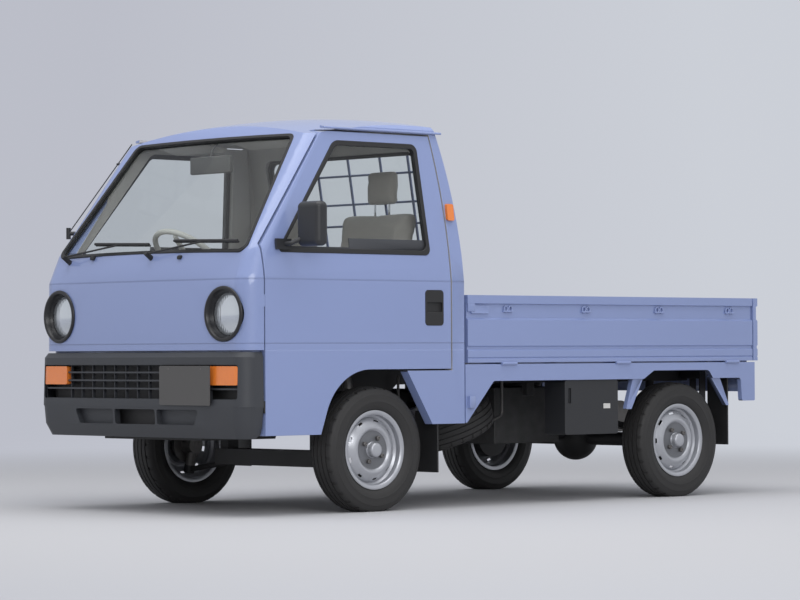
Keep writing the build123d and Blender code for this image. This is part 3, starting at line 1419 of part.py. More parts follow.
def make_mud_flaps():
    """Rubber flaps behind each wheel: the front pair on the cab's sides, the rear pair on the skirts."""
    flaps = []
    for side in (-1, 1):
        inner = side * FLAP_INNER_X
        panel = side * (HALF_WIDTH - DOOR_THICKNESS - PANEL_GAP - SEAT)
        low, high = sorted((inner, side * FLAP_OUTER_X))
        flap = block((low, high), (FRONT_FLAP_Y, FRONT_FLAP_Y + FLAP_THICKNESS), (FRONT_FLAP_LOW_Z, SILL_REAR_Z - SEAT))
        low, high = sorted((inner, panel))
        flap += block((low, high), (FRONT_FLAP_Y, FRONT_FLAP_Y + FLAP_THICKNESS), (SILL_REAR_Z - 5, FRONT_FLAP_TOP_Z))
        flaps.append(flap)
        low, high = sorted((inner, side * (HALF_WIDTH - SKIRT_THICKNESS - SEAT)))
        flaps.append(block((low, high), (REAR_FLAP_Y, REAR_FLAP_Y + FLAP_THICKNESS), (REAR_FLAP_LOW_Z, SKIRT_LOW_Z + 30)))
    return flaps


def make_nodes():
    """Every piece by its name."""
    nodes = {
        "cab_shell": make_cab_shell(),
        "cab_glass": [
            screen_prism(SCREEN_RUBBER_WIDTH - GLASS_HOLD) & screen_slab(GLASS_DEPTH, GLASS_THICKNESS),
            rear_window_prism(SCREEN_RUBBER_WIDTH - GLASS_HOLD) & rear_slab(GLASS_DEPTH, GLASS_THICKNESS),
        ],
        "window_rubbers": make_window_rubbers(),
        "front_bumper": make_front_bumper(),
        "bumper_grille": make_bumper_grille(),
        "number_plate": make_number_plate(),
        "headlamps": [make_headlamp(-1), make_headlamp(1)],
        "headlamp_bezels": [make_headlamp_bezel(-1), make_headlamp_bezel(1)],
        "signal_lamps": make_signal_lamps(),
        "wipers": [make_wiper(*row) for row in WIPERS],
        "antenna": make_antenna(),
        "dashboard": make_dashboard(),
        "steering_wheel": make_steering_wheel(),
        "seats": make_seats(),
        "bed": make_bed(),
        "headboard": make_headboard(),
        "window_guard": make_window_guard(),
        "gate_left": make_gate_left(),
        "gate_right": make_gate_right(),
        "tailgate": make_tailgate(),
        "chassis_frame": make_chassis_frame(),
        "engine": make_engine(),
        "fuel_tank": make_fuel_tank(),
        "tool_box": make_tool_box(),
        "exhaust": make_exhaust(),
        "spare_wheel": make_spare_wheel(),
        "spare_carrier": make_spare_carrier(),
        "mud_flaps": make_mud_flaps(),
        "front_suspension": make_front_suspension(),
        "rear_suspension": make_rear_suspension(),
        "knuckle_left": make_knuckle(1),
        "knuckle_right": make_knuckle(-1),
        "mirror_left": make_mirror(),
    }
    for name, side in (("left", 1), ("right", -1)):
        nodes["door_" + name] = make_door(side)
        nodes["door_glass_" + name] = make_door_glass(side)
        nodes["door_trim_" + name] = make_door_trim(side)
    tyre = tyre_solid()
    rim = rim_solid()
    for name, x, y in WHEELS:
        nodes["rim_" + name] = place_wheel(rim, x, y)
        nodes["tyre_" + name] = place_wheel(tyre, x, y)
    return nodes


def make_window_rubbers():
    """Black weatherstrips of the windscreen and the rear window, grooved for the glass."""
    rings = []
    for prism, slab in ((screen_prism, screen_slab), (rear_window_prism, rear_slab)):
        ring = prism(SLIDE_GAP) - prism(SCREEN_RUBBER_WIDTH)
        ring = ring & slab(-RUBBER_PROUD, RUBBER_PROUD + RUBBER_DEPTH)
        groove = prism(SCREEN_RUBBER_WIDTH - GLASS_HOLD - GROOVE_GAP)
        groove = groove & slab(GLASS_DEPTH - GROOVE_GAP, GLASS_THICKNESS + 2 * GROOVE_GAP)
        rings.append(ring - groove)
    return rings


def make_mirror():
    """Door mirror on a bent arm from the corner of the left window."""
    base = block((684, 697), (-1396, -1316), (1096, 1140))
    arm = bent_rod(((690, -1350, 1118), (722, -1340, 1120), (760, -1290, 1150)), 9, 16)
    shell = fillet(block((722, 862), (-1316, -1254), (1108, 1292)).edges(), 24)
    clear_of_frame = side_slab(-RUBBER_PROUD - SEAT, 80)
    return (base + arm + shell) - cab_form(-SEAT) - clear_of_frame


if __name__ == "__main__":
    os.makedirs("parts", exist_ok=True)
    for name, shape in make_nodes().items():
        solids = shape if isinstance(shape, list) else [shape]
        solids = [solid for piece in solids for solid in piece.solids()]
        whole = solids[0] if len(solids) == 1 else Compound(children=solids)
        export_step(whole, "parts/" + name + ".step")
        print(name, len(solids), round(sum(solid.volume for solid in solids) / 1000), "cm3")
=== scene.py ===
# %% [markdown]
# # A kei truck, dressed over its CAD frame
# The CAD model gives every panel its true size and place, and the joints that move it.
# This lesson gives the panels rolled edges, real paint, rubber, glass and cloth, and adds the small
# fittings. All lengths are metres: the front faces -Y, the vehicle's left is +X, and up is +Z.

# %% Load the frame
import json
import math
import bpy
from mathutils import Matrix, Vector

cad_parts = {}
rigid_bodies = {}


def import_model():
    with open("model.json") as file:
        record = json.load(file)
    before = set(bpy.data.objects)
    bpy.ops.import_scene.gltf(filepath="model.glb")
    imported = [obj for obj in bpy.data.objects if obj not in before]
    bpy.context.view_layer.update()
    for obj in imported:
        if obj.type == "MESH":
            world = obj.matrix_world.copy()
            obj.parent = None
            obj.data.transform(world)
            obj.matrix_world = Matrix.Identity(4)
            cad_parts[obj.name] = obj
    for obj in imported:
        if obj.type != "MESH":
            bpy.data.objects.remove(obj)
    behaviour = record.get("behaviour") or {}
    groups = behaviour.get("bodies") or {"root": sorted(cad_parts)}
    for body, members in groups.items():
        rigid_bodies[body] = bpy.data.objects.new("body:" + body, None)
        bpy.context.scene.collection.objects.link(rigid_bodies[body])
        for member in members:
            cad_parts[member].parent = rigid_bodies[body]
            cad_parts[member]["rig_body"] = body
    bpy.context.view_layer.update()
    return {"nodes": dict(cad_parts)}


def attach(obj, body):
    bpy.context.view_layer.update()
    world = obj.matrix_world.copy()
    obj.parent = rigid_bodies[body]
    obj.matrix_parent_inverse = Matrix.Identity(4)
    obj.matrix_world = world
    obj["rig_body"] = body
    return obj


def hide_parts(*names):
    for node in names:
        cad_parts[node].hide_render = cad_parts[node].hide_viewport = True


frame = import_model()
nodes = frame["nodes"]

FRONT_AXLE_Y = -0.8195
REAR_AXLE_Y = 1.0805
AXLE_Z = 0.26
WHEEL_X = 0.6025
ROOT = "chassis_and_cab"

# %% [markdown]
# ## The camera
# The photograph was taken with a long lens from far away, almost level, at the front left corner.
# Its place was solved from the wheels and the body's edges, so it is set as a matrix, not by eye.

# %% Camera
FOCAL_LENGTH = 144.61
CAMERA_PLACE = (10.6575, -9.9842, 0.6703)
YAW, PITCH, ROLL = math.radians(47.04), math.radians(0.937), math.radians(-0.2755)
forward = Vector((-math.sin(YAW) * math.cos(PITCH), math.cos(YAW) * math.cos(PITCH), math.sin(PITCH)))
level_right = forward.cross(Vector((0, 0, 1))).normalized()
level_up = level_right.cross(forward)
right = level_right * math.cos(ROLL) + level_up * math.sin(ROLL)
up = level_up * math.cos(ROLL) - level_right * math.sin(ROLL)
lens = bpy.data.cameras.new("photo_camera")
lens.sensor_width = 36
lens.lens = FOCAL_LENGTH
lens.clip_end = 100
camera = bpy.data.objects.new("photo_camera", lens)
bpy.context.scene.collection.objects.link(camera)
basis = Matrix((right, up, -forward)).transposed().to_4x4()
camera.matrix_world = Matrix.Translation(CAMERA_PLACE) @ basis
bpy.context.scene.camera = camera
print("lens", round(lens.lens, 1), "mm")

# %% [markdown]
# ## Shader groups
# Real paint, plastic and rubber are never one flat colour. Three small groups are shared by the
# finishes: a slow change of tone and gloss, a fine grain that only tilts the surface, and ribs.

# %% Group helpers
def new_group(name, inputs, outputs):
    group = bpy.data.node_groups.new(name, "ShaderNodeTree")
    for label, kind, value in inputs:
        socket = group.interface.new_socket(label, in_out="INPUT", socket_type=kind)
        if value is not None:
            socket.default_value = value
    for label, kind in outputs:
        group.interface.new_socket(label, in_out="OUTPUT", socket_type=kind)
    start = group.nodes.new("NodeGroupInput")
    end = group.nodes.new("NodeGroupOutput")
    return group, start, end


def add_node(tree, kind, **settings):
    node = tree.nodes.new("ShaderNode" + kind)
    for label, value in settings.items():
        setattr(node, label, value)
    return node


def connect(tree, *pairs):
    for source, target in pairs:
        tree.links.new(source, target)


COLOR, NUMBER, VECTOR = "NodeSocketColor", "NodeSocketFloat", "NodeSocketVector"

# %% Tone group
tone, tone_in, tone_out = new_group(
    "tone",
    [("Color", COLOR, (1, 1, 1, 1)), ("Second", COLOR, (1, 1, 1, 1)), ("Scale", NUMBER, 4.0),
     ("Amount", NUMBER, 0.3), ("Rough Low", NUMBER, 0.3), ("Rough High", NUMBER, 0.4)],
    [("Color", COLOR), ("Roughness", NUMBER)],
)
place = add_node(tone, "TexCoord")
noise = add_node(tone, "TexNoise")
noise.inputs["Detail"].default_value = 6.0
share = add_node(tone, "Math", operation="MULTIPLY")
mix = add_node(tone, "Mix", data_type="RGBA")
gloss = add_node(tone, "MapRange")
connect(
    tone,
    (place.outputs["Object"], noise.inputs["Vector"]),
    (tone_in.outputs["Scale"], noise.inputs["Scale"]),
    (noise.outputs["Fac"], share.inputs[0]),
    (tone_in.outputs["Amount"], share.inputs[1]),
    (share.outputs[0], mix.inputs["Factor"]),
    (tone_in.outputs["Color"], mix.inputs["A"]),
    (tone_in.outputs["Second"], mix.inputs["B"]),
    (noise.outputs["Fac"], gloss.inputs["Value"]),
    (tone_in.outputs["Rough Low"], gloss.inputs["To Min"]),
    (tone_in.outputs["Rough High"], gloss.inputs["To Max"]),
    (mix.outputs["Result"], tone_out.inputs["Color"]),
    (gloss.outputs["Result"], tone_out.inputs["Roughness"]),
)
print("group", tone.name)

# %% Grain group
grain, grain_in, grain_out = new_group(
    "grain",
    [("Scale", NUMBER, 400.0), ("Depth", NUMBER, 0.0004), ("Strength", NUMBER, 0.4)],
    [("Normal", VECTOR)],
)
place = add_node(grain, "TexCoord")
noise = add_node(grain, "TexNoise")
noise.inputs["Detail"].default_value = 3.0
tilt = add_node(grain, "Bump")
connect(
    grain,
    (place.outputs["Object"], noise.inputs["Vector"]),
    (grain_in.outputs["Scale"], noise.inputs["Scale"]),
    (noise.outputs["Fac"], tilt.inputs["Height"]),
    (grain_in.outputs["Depth"], tilt.inputs["Distance"]),
    (grain_in.outputs["Strength"], tilt.inputs["Strength"]),
    (tilt.outputs["Normal"], grain_out.inputs["Normal"]),
)
print("group", grain.name)

# %% Rib group
ribs, ribs_in, ribs_out = new_group(
    "ribs",
    [("Axis", VECTOR, (1, 0, 0)), ("Count per metre", NUMBER, 100.0), ("Depth", NUMBER, 0.001),
     ("Strength", NUMBER, 0.6)],
    [("Normal", VECTOR)],
)
place = add_node(ribs, "TexCoord")
along = add_node(ribs, "VectorMath", operation="DOT_PRODUCT")
count = add_node(ribs, "Math", operation="MULTIPLY")
fold = add_node(ribs, "Math", operation="PINGPONG")
fold.inputs[1].default_value = 0.5
tilt = add_node(ribs, "Bump")
connect(
    ribs,
    (place.outputs["Object"], along.inputs[0]),
    (ribs_in.outputs["Axis"], along.inputs[1]),
    (along.outputs["Value"], count.inputs[0]),
    (ribs_in.outputs["Count per metre"], count.inputs[1]),
    (count.outputs[0], fold.inputs[0]),
    (fold.outputs[0], tilt.inputs["Height"]),
    (ribs_in.outputs["Depth"], tilt.inputs["Distance"]),
    (ribs_in.outputs["Strength"], tilt.inputs["Strength"]),
    (tilt.outputs["Normal"], ribs_out.inputs["Normal"]),
)
print("group", ribs.name)

# %% [markdown]
# ## Finishes
# One function starts each finish: a Principled shader fed by the tone and grain groups. Its plain
# numbers, such as metal, coat and sheen, are set on the shader's own sockets.

# %% Finish helper
def finish(name, color, second=None, amount=0.25, scale=4.0, rough=(0.35, 0.45), grain_scale=300.0,
           grain_depth=0.0002, grain_strength=0.25, **sockets):
    material = bpy.data.materials.new(name)
    material.use_nodes = True
    tree = material.node_tree
    shader = tree.nodes["Principled BSDF"]
    cloud = add_node(tree, "Group", node_tree=tone)
    cloud.inputs["Color"].default_value = (*color, 1)
    cloud.inputs["Second"].default_value = (*(second or [v * 0.8 for v in color]), 1)
    cloud.inputs["Scale"].default_value = scale
    cloud.inputs["Amount"].default_value = amount
    cloud.inputs["Rough Low"].default_value = rough[0]
    cloud.inputs["Rough High"].default_value = rough[1]
    tree.links.new(cloud.outputs["Color"], shader.inputs["Base Color"])
    tree.links.new(cloud.outputs["Roughness"], shader.inputs["Roughness"])
    if grain_strength:
        fine = add_node(tree, "Group", node_tree=grain)
        fine.inputs["Scale"].default_value = grain_scale
        fine.inputs["Depth"].default_value = grain_depth
        fine.inputs["Strength"].default_value = grain_strength
        tree.links.new(fine.outputs["Normal"], shader.inputs["Normal"])
    for label, value in sockets.items():
        shader.inputs[label.replace("_", " ")].default_value = value
    return material


def add_ribs(material, axis, per_metre, depth, strength=0.6):
    tree = material.node_tree
    rows = add_node(tree, "Group", node_tree=ribs)
    rows.inputs["Axis"].default_value = axis
    rows.inputs["Count per metre"].default_value = per_metre
    rows.inputs["Depth"].default_value = depth
    rows.inputs["Strength"].default_value = strength
    tree.links.new(rows.outputs["Normal"], tree.nodes["Principled BSDF"].inputs["Normal"])


# %% Paints and metals
body_paint = finish("body_paint", (0.232, 0.292, 0.52), (0.215, 0.275, 0.5), amount=0.5, scale=2.5,
                    rough=(0.3, 0.36), grain_scale=900.0, grain_depth=0.00006, grain_strength=0.12,
                    Coat_Weight=0.7, Coat_Roughness=0.06)
# A dark copy of the body blue: a painted shade for the faces that look down.
painted_under_shade = finish("painted_under_shade", (0.045, 0.06, 0.12), (0.03, 0.035, 0.06), amount=0.7, scale=9.0,
                     rough=(0.55, 0.75))
chassis_black = finish("chassis_black", (0.016, 0.016, 0.018), (0.035, 0.034, 0.033), amount=0.7, scale=9.0,
                       rough=(0.45, 0.65), grain_scale=160.0, grain_depth=0.0008, grain_strength=0.3)
dull_steel = finish("dull_steel", (0.2, 0.195, 0.19), (0.11, 0.1, 0.095), amount=0.8, scale=14.0,
                    rough=(0.4, 0.6), Metallic=0.8)
cast_metal = finish("cast_metal", (0.1, 0.1, 0.1), (0.05, 0.05, 0.05), amount=0.8, scale=20.0,
                    rough=(0.5, 0.7), grain_scale=120.0, grain_depth=0.002, grain_strength=0.5, Metallic=0.6)
wheel_silver = finish("wheel_silver", (0.46, 0.47, 0.5), (0.38, 0.39, 0.42), amount=0.5, scale=12.0,
                      rough=(0.3, 0.38), grain_scale=900.0, grain_depth=0.0001, grain_strength=0.15,
                      Metallic=0.55, Coat_Weight=0.3, Coat_Roughness=0.15)
chrome = finish("chrome", (0.8, 0.81, 0.83), (0.7, 0.71, 0.73), amount=0.3, scale=6.0, rough=(0.06, 0.12),
                grain_strength=0, Metallic=1.0)
guard_paint = finish("guard_paint", (0.16, 0.19, 0.33), (0.13, 0.16, 0.28), amount=0.5, rough=(0.35, 0.5))
hub_grey = finish("hub_grey", (0.2, 0.205, 0.22), (0.15, 0.155, 0.165), amount=0.7, scale=18.0,
                  rough=(0.38, 0.5), Metallic=0.55)
print("paints and metals", len(bpy.data.materials))

# %% [markdown]
# ## Pressed lines in the cab
# A stylist's crease runs round the cab at belt height, and a shallow channel runs just above the sill.
# Both are only a few millimetres deep, so they are a height on the paint, read from the level above
# the floor, and a Bump node turns that height into light and shade.

# %% Press-line group
press, press_in, press_out = new_group("press_lines", [("Crease", NUMBER, 0.975), ("Channel", NUMBER, 0.696)],
                                       [("Height", NUMBER)])
place = add_node(press, "TexCoord")
level = add_node(press, "SeparateXYZ")
press.links.new(place.outputs["Object"], level.inputs["Vector"])


def press_math(operation, first, second):
    step = add_node(press, "Math", operation=operation)
    for index, value in enumerate((first, second)):
        if isinstance(value, float):
            step.inputs[index].default_value = value
        elif value is not None:
            press.links.new(value, step.inputs[index])
    return step.outputs[0]


def press_ramp(value, low, high):
    ramp = add_node(press, "MapRange", interpolation_type="SMOOTHSTEP")
    ramp.inputs["From Min"].default_value = low
    ramp.inputs["From Max"].default_value = high
    press.links.new(value, ramp.inputs["Value"])
    return ramp.outputs["Result"]


above = press_math("SUBTRACT", level.outputs["Z"], press_in.outputs["Crease"])
near = press_math("ABSOLUTE", press_math("SUBTRACT", level.outputs["Z"], press_in.outputs["Channel"]), None)
both = press_math("ADD", press_ramp(above, -0.005, 0.005), press_ramp(near, 0.012, 0.018))
press.links.new(both, press_out.inputs["Height"])

cab_paint = body_paint.copy()
cab_paint.name = "cab_paint"
tree = cab_paint.node_tree
shader = tree.nodes["Principled BSDF"]
lines = add_node(tree, "Group", node_tree=press)
fold_bump = add_node(tree, "Bump")
fold_bump.inputs["Distance"].default_value = 0.004
fold_bump.inputs["Strength"].default_value = 0.8
fine_normal = shader.inputs["Normal"].links[0].from_socket
tree.links.new(lines.outputs["Height"], fold_bump.inputs["Height"])
tree.links.new(fine_normal, fold_bump.inputs["Normal"])
tree.links.new(fold_bump.outputs["Normal"], shader.inputs["Normal"])
print("pressed lines on", cab_paint.name)

# %% Rubbers and plastics
tyre_rubber = finish("tyre_rubber", (0.02, 0.019, 0.019), (0.032, 0.031, 0.03), amount=0.6, scale=11.0,
                     rough=(0.55, 0.72), grain_scale=500.0, grain_depth=0.0006, grain_strength=0.35)
black_rubber = finish("black_rubber", (0.014, 0.014, 0.015), (0.022, 0.022, 0.023), amount=0.6, scale=16.0,
                      rough=(0.45, 0.6), grain_scale=700.0, grain_depth=0.0002, grain_strength=0.3)
bumper_grey = finish("bumper_grey", (0.04, 0.043, 0.05), (0.033, 0.036, 0.042), amount=0.5, scale=5.0,
                     rough=(0.42, 0.52), grain_scale=1100.0, grain_depth=0.0004, grain_strength=0.35)
bezel_black = finish("bezel_black", (0.01, 0.01, 0.012), (0.016, 0.016, 0.018), amount=0.5, scale=8.0,
                     rough=(0.28, 0.4), grain_scale=900.0, grain_depth=0.0001, grain_strength=0.2)
mirror_black = finish("mirror_black", (0.018, 0.019, 0.022), (0.026, 0.027, 0.03), amount=0.5, scale=9.0,
                      rough=(0.38, 0.5), grain_scale=1200.0, grain_depth=0.0003, grain_strength=0.35)
plate_blank = finish("plate_blank", (0.075, 0.072, 0.07), (0.09, 0.087, 0.084), amount=0.5, scale=20.0,
                     rough=(0.4, 0.5), grain_strength=0.1)
cabin_grey = finish("cabin_grey", (0.3, 0.295, 0.28), (0.25, 0.245, 0.235), amount=0.5, scale=5.0,
                    rough=(0.55, 0.7), grain_scale=900.0, grain_depth=0.0005, grain_strength=0.4)
cabin_pale = finish("cabin_pale", (0.62, 0.61, 0.58), (0.56, 0.55, 0.52), amount=0.5, scale=5.0,
                    rough=(0.7, 0.85), grain_scale=600.0, grain_depth=0.0005, grain_strength=0.35)
cabin_lining = finish("cabin_lining", (0.5, 0.485, 0.465), (0.43, 0.415, 0.4), amount=0.5, scale=4.0,
                      rough=(0.65, 0.8), grain_scale=500.0, grain_depth=0.0006, grain_strength=0.4)
cabin_trim = finish("cabin_trim", (0.1, 0.098, 0.095), (0.075, 0.073, 0.07), amount=0.5, scale=6.0,
                    rough=(0.5, 0.62), grain_scale=900.0, grain_depth=0.0004, grain_strength=0.35)
sash_grey = finish("sash_grey", (0.055, 0.058, 0.066), (0.045, 0.048, 0.055), amount=0.5, scale=6.0,
                   rough=(0.35, 0.45), grain_scale=900.0, grain_depth=0.0002, grain_strength=0.2)
seat_cloth = finish("seat_cloth", (0.37, 0.345, 0.32), (0.3, 0.28, 0.26), amount=0.7, scale=45.0,
                    rough=(0.8, 0.95), grain_scale=1500.0, grain_depth=0.001, grain_strength=0.6,
                    Sheen_Weight=0.4, Sheen_Roughness=0.5)
print("materials so far", len(bpy.data.materials))

# %% [markdown]
# ## Lamps and glass
# Window glass is nearly invisible from most angles: light passes straight through, with a faint green
# tint, and only the mirror image of the room shows near grazing angles. The lamp lenses are coloured
# plastics with small ribs, which catch the light in rows.

# %% Lens plastics
amber_lens = finish("amber_lens", (0.8, 0.22, 0.035), (0.7, 0.16, 0.02), amount=0.5, scale=30.0,
                    rough=(0.12, 0.2), Coat_Weight=0.6, Coat_Roughness=0.05)
add_ribs(amber_lens, (1, 0, 0), 110.0, 0.0012, 0.7)
red_lens = finish("red_lens", (0.45, 0.012, 0.015), (0.35, 0.01, 0.012), amount=0.5, scale=30.0,
                  rough=(0.12, 0.2), Coat_Weight=0.6, Coat_Roughness=0.05)
add_ribs(red_lens, (1, 0, 0), 110.0, 0.0012, 0.7)
beam_glass = finish("beam_glass", (0.66, 0.7, 0.74), (0.56, 0.6, 0.64), amount=0.6, scale=14.0,
                    rough=(0.08, 0.16), Metallic=0.75, Coat_Weight=1.0, Coat_Roughness=0.02)
add_ribs(beam_glass, (1, 0, 0), 85.0, 0.0016, 0.8)


# %% Clear glass
def clear_glass(name, tint, roughness=0.0):
    material = bpy.data.materials.new(name)
    material.use_nodes = True
    tree = material.node_tree
    tree.nodes.remove(tree.nodes["Principled BSDF"])
    through = add_node(tree, "BsdfTransparent")
    through.inputs["Color"].default_value = (*tint, 1)
    mirror = add_node(tree, "BsdfGlossy")
    mirror.inputs["Roughness"].default_value = roughness
    view = add_node(tree, "Fresnel")
    view.inputs["IOR"].default_value = 1.45
    back = add_node(tree, "NewGeometry")
    front = add_node(tree, "Math", operation="SUBTRACT")
    front.inputs[0].default_value = 1.0
    outer = add_node(tree, "Math", operation="MULTIPLY")
    mixed = add_node(tree, "MixShader")
    connect(
        tree,
        (back.outputs["Backfacing"], front.inputs[1]),
        (view.outputs["Fac"], outer.inputs[0]),
        (front.outputs[0], outer.inputs[1]),
        (outer.outputs[0], mixed.inputs["Fac"]),
        (through.outputs["BSDF"], mixed.inputs[1]),
        (mirror.outputs["BSDF"], mixed.inputs[2]),
        (mixed.outputs["Shader"], tree.nodes["Material Output"].inputs["Surface"]),
    )
    return material


window_glass = clear_glass("window_glass", (0.945, 0.96, 0.955))
print("glass", window_glass.name)

# %% [markdown]
# ## Working by hand, in code
# Every piece starts from a primitive that is shaped in edit mode. These helpers keep the selection
# clean, apply an object's place to its mesh, and say which body carries the piece.

# %% Selection helpers
def clear():
    if bpy.context.object and bpy.context.object.mode != "OBJECT":
        bpy.ops.object.mode_set(mode="OBJECT")
    bpy.ops.object.select_all(action="DESELECT")


def pick(piece):
    clear()
    piece.select_set(True)
    bpy.context.view_layer.objects.active = piece
    return piece


def apply_place(piece):
    pick(piece)
    bpy.ops.object.transform_apply(location=True, rotation=True, scale=True)
    return piece


def modify(piece, kind, **settings):
    pick(piece)
    step = piece.modifiers.new(kind.lower(), kind)
    for label, value in settings.items():
        setattr(step, label, value)
    bpy.ops.object.modifier_apply(modifier=step.name)
    return piece


def smooth(piece, degrees=35):
    pick(piece)
    bpy.ops.object.shade_smooth_by_angle(angle=math.radians(degrees))
    return piece


def dress(piece, material, body=ROOT, stands_for=()):
    piece.data.materials.clear()
    piece.data.materials.append(material)
    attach(piece, body)
    if stands_for:
        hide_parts(*stands_for)
    return piece


def body_of(node):
    return nodes[node]["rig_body"]


# %% [markdown]
# ## Pressed panels from the CAD solids
# A CAD solid arrives as loose triangles with knife-sharp edges. Pressed steel has none: each fold has a
# small radius that catches a line of light. So each panel is copied, its points are merged, flat areas
# are dissolved into single faces, and the edges get a small bevel. The bed keeps its edges sharp, because
# its deck has long narrow faces that a bevel would twist.

# %% Rolled copies
def rolled(node, material, roll=0.002, steps=2, fold=28, flat=0.4):
    source = nodes[node]
    piece = bpy.data.objects.new(node + ".look", source.data.copy())
    bpy.context.scene.collection.objects.link(piece)
    pick(piece)
    bpy.ops.object.mode_set(mode="EDIT")
    bpy.ops.mesh.select_all(action="SELECT")
    bpy.ops.mesh.remove_doubles(threshold=0.00003)
    bpy.ops.mesh.dissolve_limited(angle_limit=math.radians(flat))
    bpy.ops.object.mode_set(mode="OBJECT")
    if roll:
        modify(piece, "BEVEL", width=roll, segments=steps, limit_method="ANGLE",
               angle_limit=math.radians(fold), harden_normals=False, use_clamp_overlap=True,
               miter_outer="MITER_ARC")
    smooth(piece, 40)
    modify(piece, "WEIGHTED_NORMAL", keep_sharp=True)
    dress(piece, material, body_of(node), (node,))
    return piece


# %% Painted panels
panels = {}
for node, roll in (("cab_shell", 0.0025), ("door_left", 0.0025), ("door_right", 0.0025), ("bed", 0),
                   ("headboard", 0.002), ("gate_left", 0.0018), ("gate_right", 0.0018), ("tailgate", 0.0018)):
    paint = cab_paint if node in ("cab_shell", "door_left", "door_right") else body_paint
    panels[node] = rolled(node, paint, roll)
    print(node, len(panels[node].data.polygons), "faces")

# %% Other rigid nodes
for node, material, roll, slot in (
    ("front_bumper", bumper_grey, 0.003, "grey_plastic"),
    ("bumper_grille", bumper_grey, 0.001, "grey_plastic"),
    ("number_plate", plate_blank, 0.0008, "plate_grey"),
    ("window_rubbers", black_rubber, 0.002, "black_rubber"),
    ("door_trim_left", black_rubber, 0.002, "black_rubber"),
    ("door_trim_right", black_rubber, 0.002, "black_rubber"),
    ("signal_lamps", amber_lens, 0.002, "amber_lens"),
    ("wipers", black_rubber, 0.0005, "black_metal"),
    ("antenna", black_rubber, 0.0005, "black_metal"),
    ("window_guard", guard_paint, 0.0005, "guard_paint"),
    ("dashboard", cabin_grey, 0.003, "cabin_plastic"),
    ("mirror_left", mirror_black, 0.003, "black_plastic"),
    ("chassis_frame", chassis_black, 0.002, "chassis_black"),
    ("front_suspension", chassis_black, 0.002, "chassis_black"),
    ("rear_suspension", chassis_black, 0.002, "chassis_black"),
    ("knuckle_left", dull_steel, 0.001, "bare_steel"),
    ("knuckle_right", dull_steel, 0.001, "bare_steel"),
    ("engine", cast_metal, 0.006, "engine_metal"),
    ("exhaust", dull_steel, 0.001, "bare_steel"),
    ("fuel_tank", chassis_black, 0.002, "chassis_black"),
    ("tool_box", mirror_black, 0.002, "black_plastic"),
    ("spare_carrier", dull_steel, 0, "bare_steel"),
    ("mud_flaps", black_rubber, 0.002, "black_rubber"),
):
    panels[node] = rolled(node, material, roll)
for node in ("cab_glass", "door_glass_left", "door_glass_right"):
    panels[node] = rolled(node, window_glass, 0)
print("dressed", len(panels))

# %% [markdown]
# ## Turned pieces
# Wheels, tyres and lamps are round. On a lathe the tool follows one outline, so here a single vertex is
# extruded along the outline and the line is spun about the axle. More points on a curve cost little.

# %% Lathe helper
def turned(name, rows, steps=72):
    """Rows are (along X, radius); the piece is spun about the X axis."""
    clear()
    bpy.ops.mesh.primitive_plane_add(size=0.01)
    piece = bpy.context.object
    piece.name = name
    bpy.ops.object.mode_set(mode="EDIT")
    bpy.ops.mesh.select_mode(type="VERT")
    bpy.ops.mesh.select_all(action="SELECT")
    bpy.ops.mesh.merge(type="CENTER")
    here = Vector((rows[0][0], 0, rows[0][1]))
    bpy.ops.transform.translate(value=here)
    for along, radius in rows[1:]:
        there = Vector((along, 0, radius))
        bpy.ops.mesh.extrude_region_move(TRANSFORM_OT_translate={"value": there - here})
        here = there
    bpy.ops.mesh.select_all(action="SELECT")
    bpy.ops.mesh.spin(steps=steps, angle=2 * math.pi, center=(0, 0, 0), axis=(1, 0, 0))
    bpy.ops.mesh.select_all(action="SELECT")
    bpy.ops.mesh.remove_doubles(threshold=0.00002)
    bpy.ops.mesh.normals_make_consistent(inside=False)
    bpy.ops.object.mode_set(mode="OBJECT")
    return piece


def copy_of(piece, name):
    twin = bpy.data.objects.new(name, piece.data.copy())
    bpy.context.scene.collection.objects.link(twin)
    return twin


def put(piece, matrix):
    piece.data.transform(matrix)
    piece.data.update()
    return piece


def joined(name, pieces):
    clear()
    for piece in pieces:
        piece.select_set(True)
    bpy.context.view_layer.objects.active = pieces[0]
    bpy.ops.object.join()
    pieces[0].name = name
    return pieces[0]


def choose_faces(piece, rule):
    """Select the faces that the rule accepts, ready for edit mode."""
    pick(piece)
    bpy.ops.object.mode_set(mode="EDIT")
    bpy.ops.mesh.select_mode(type="FACE")
    bpy.ops.mesh.select_all(action="DESELECT")
    bpy.ops.object.mode_set(mode="OBJECT")
    count = 0
    for face in piece.data.polygons:
        face.select = rule(face)
        count += face.select
    bpy.ops.object.mode_set(mode="EDIT")
    return count


def paint_faces(piece, material, rule):
    """Give the faces that the rule accepts a further material."""
    names = [slot.name for slot in piece.data.materials]
    if material.name not in names:
        piece.data.materials.append(material)
        names.append(material.name)
    index = names.index(material.name)
    count = 0
    for face in piece.data.polygons:
        if rule(face):
            face.material_index = index
            count += 1
    return count


print("lathe ready")

# %% [markdown]
# ## Tyres
# A light radial tyre has a rounded sidewall with a few raised rings, and a tread of ribs cut by four
# grooves. The shoulder is notched into blocks. The grooves are part of the turned outline, and the
# notches are faces that are inset downwards.

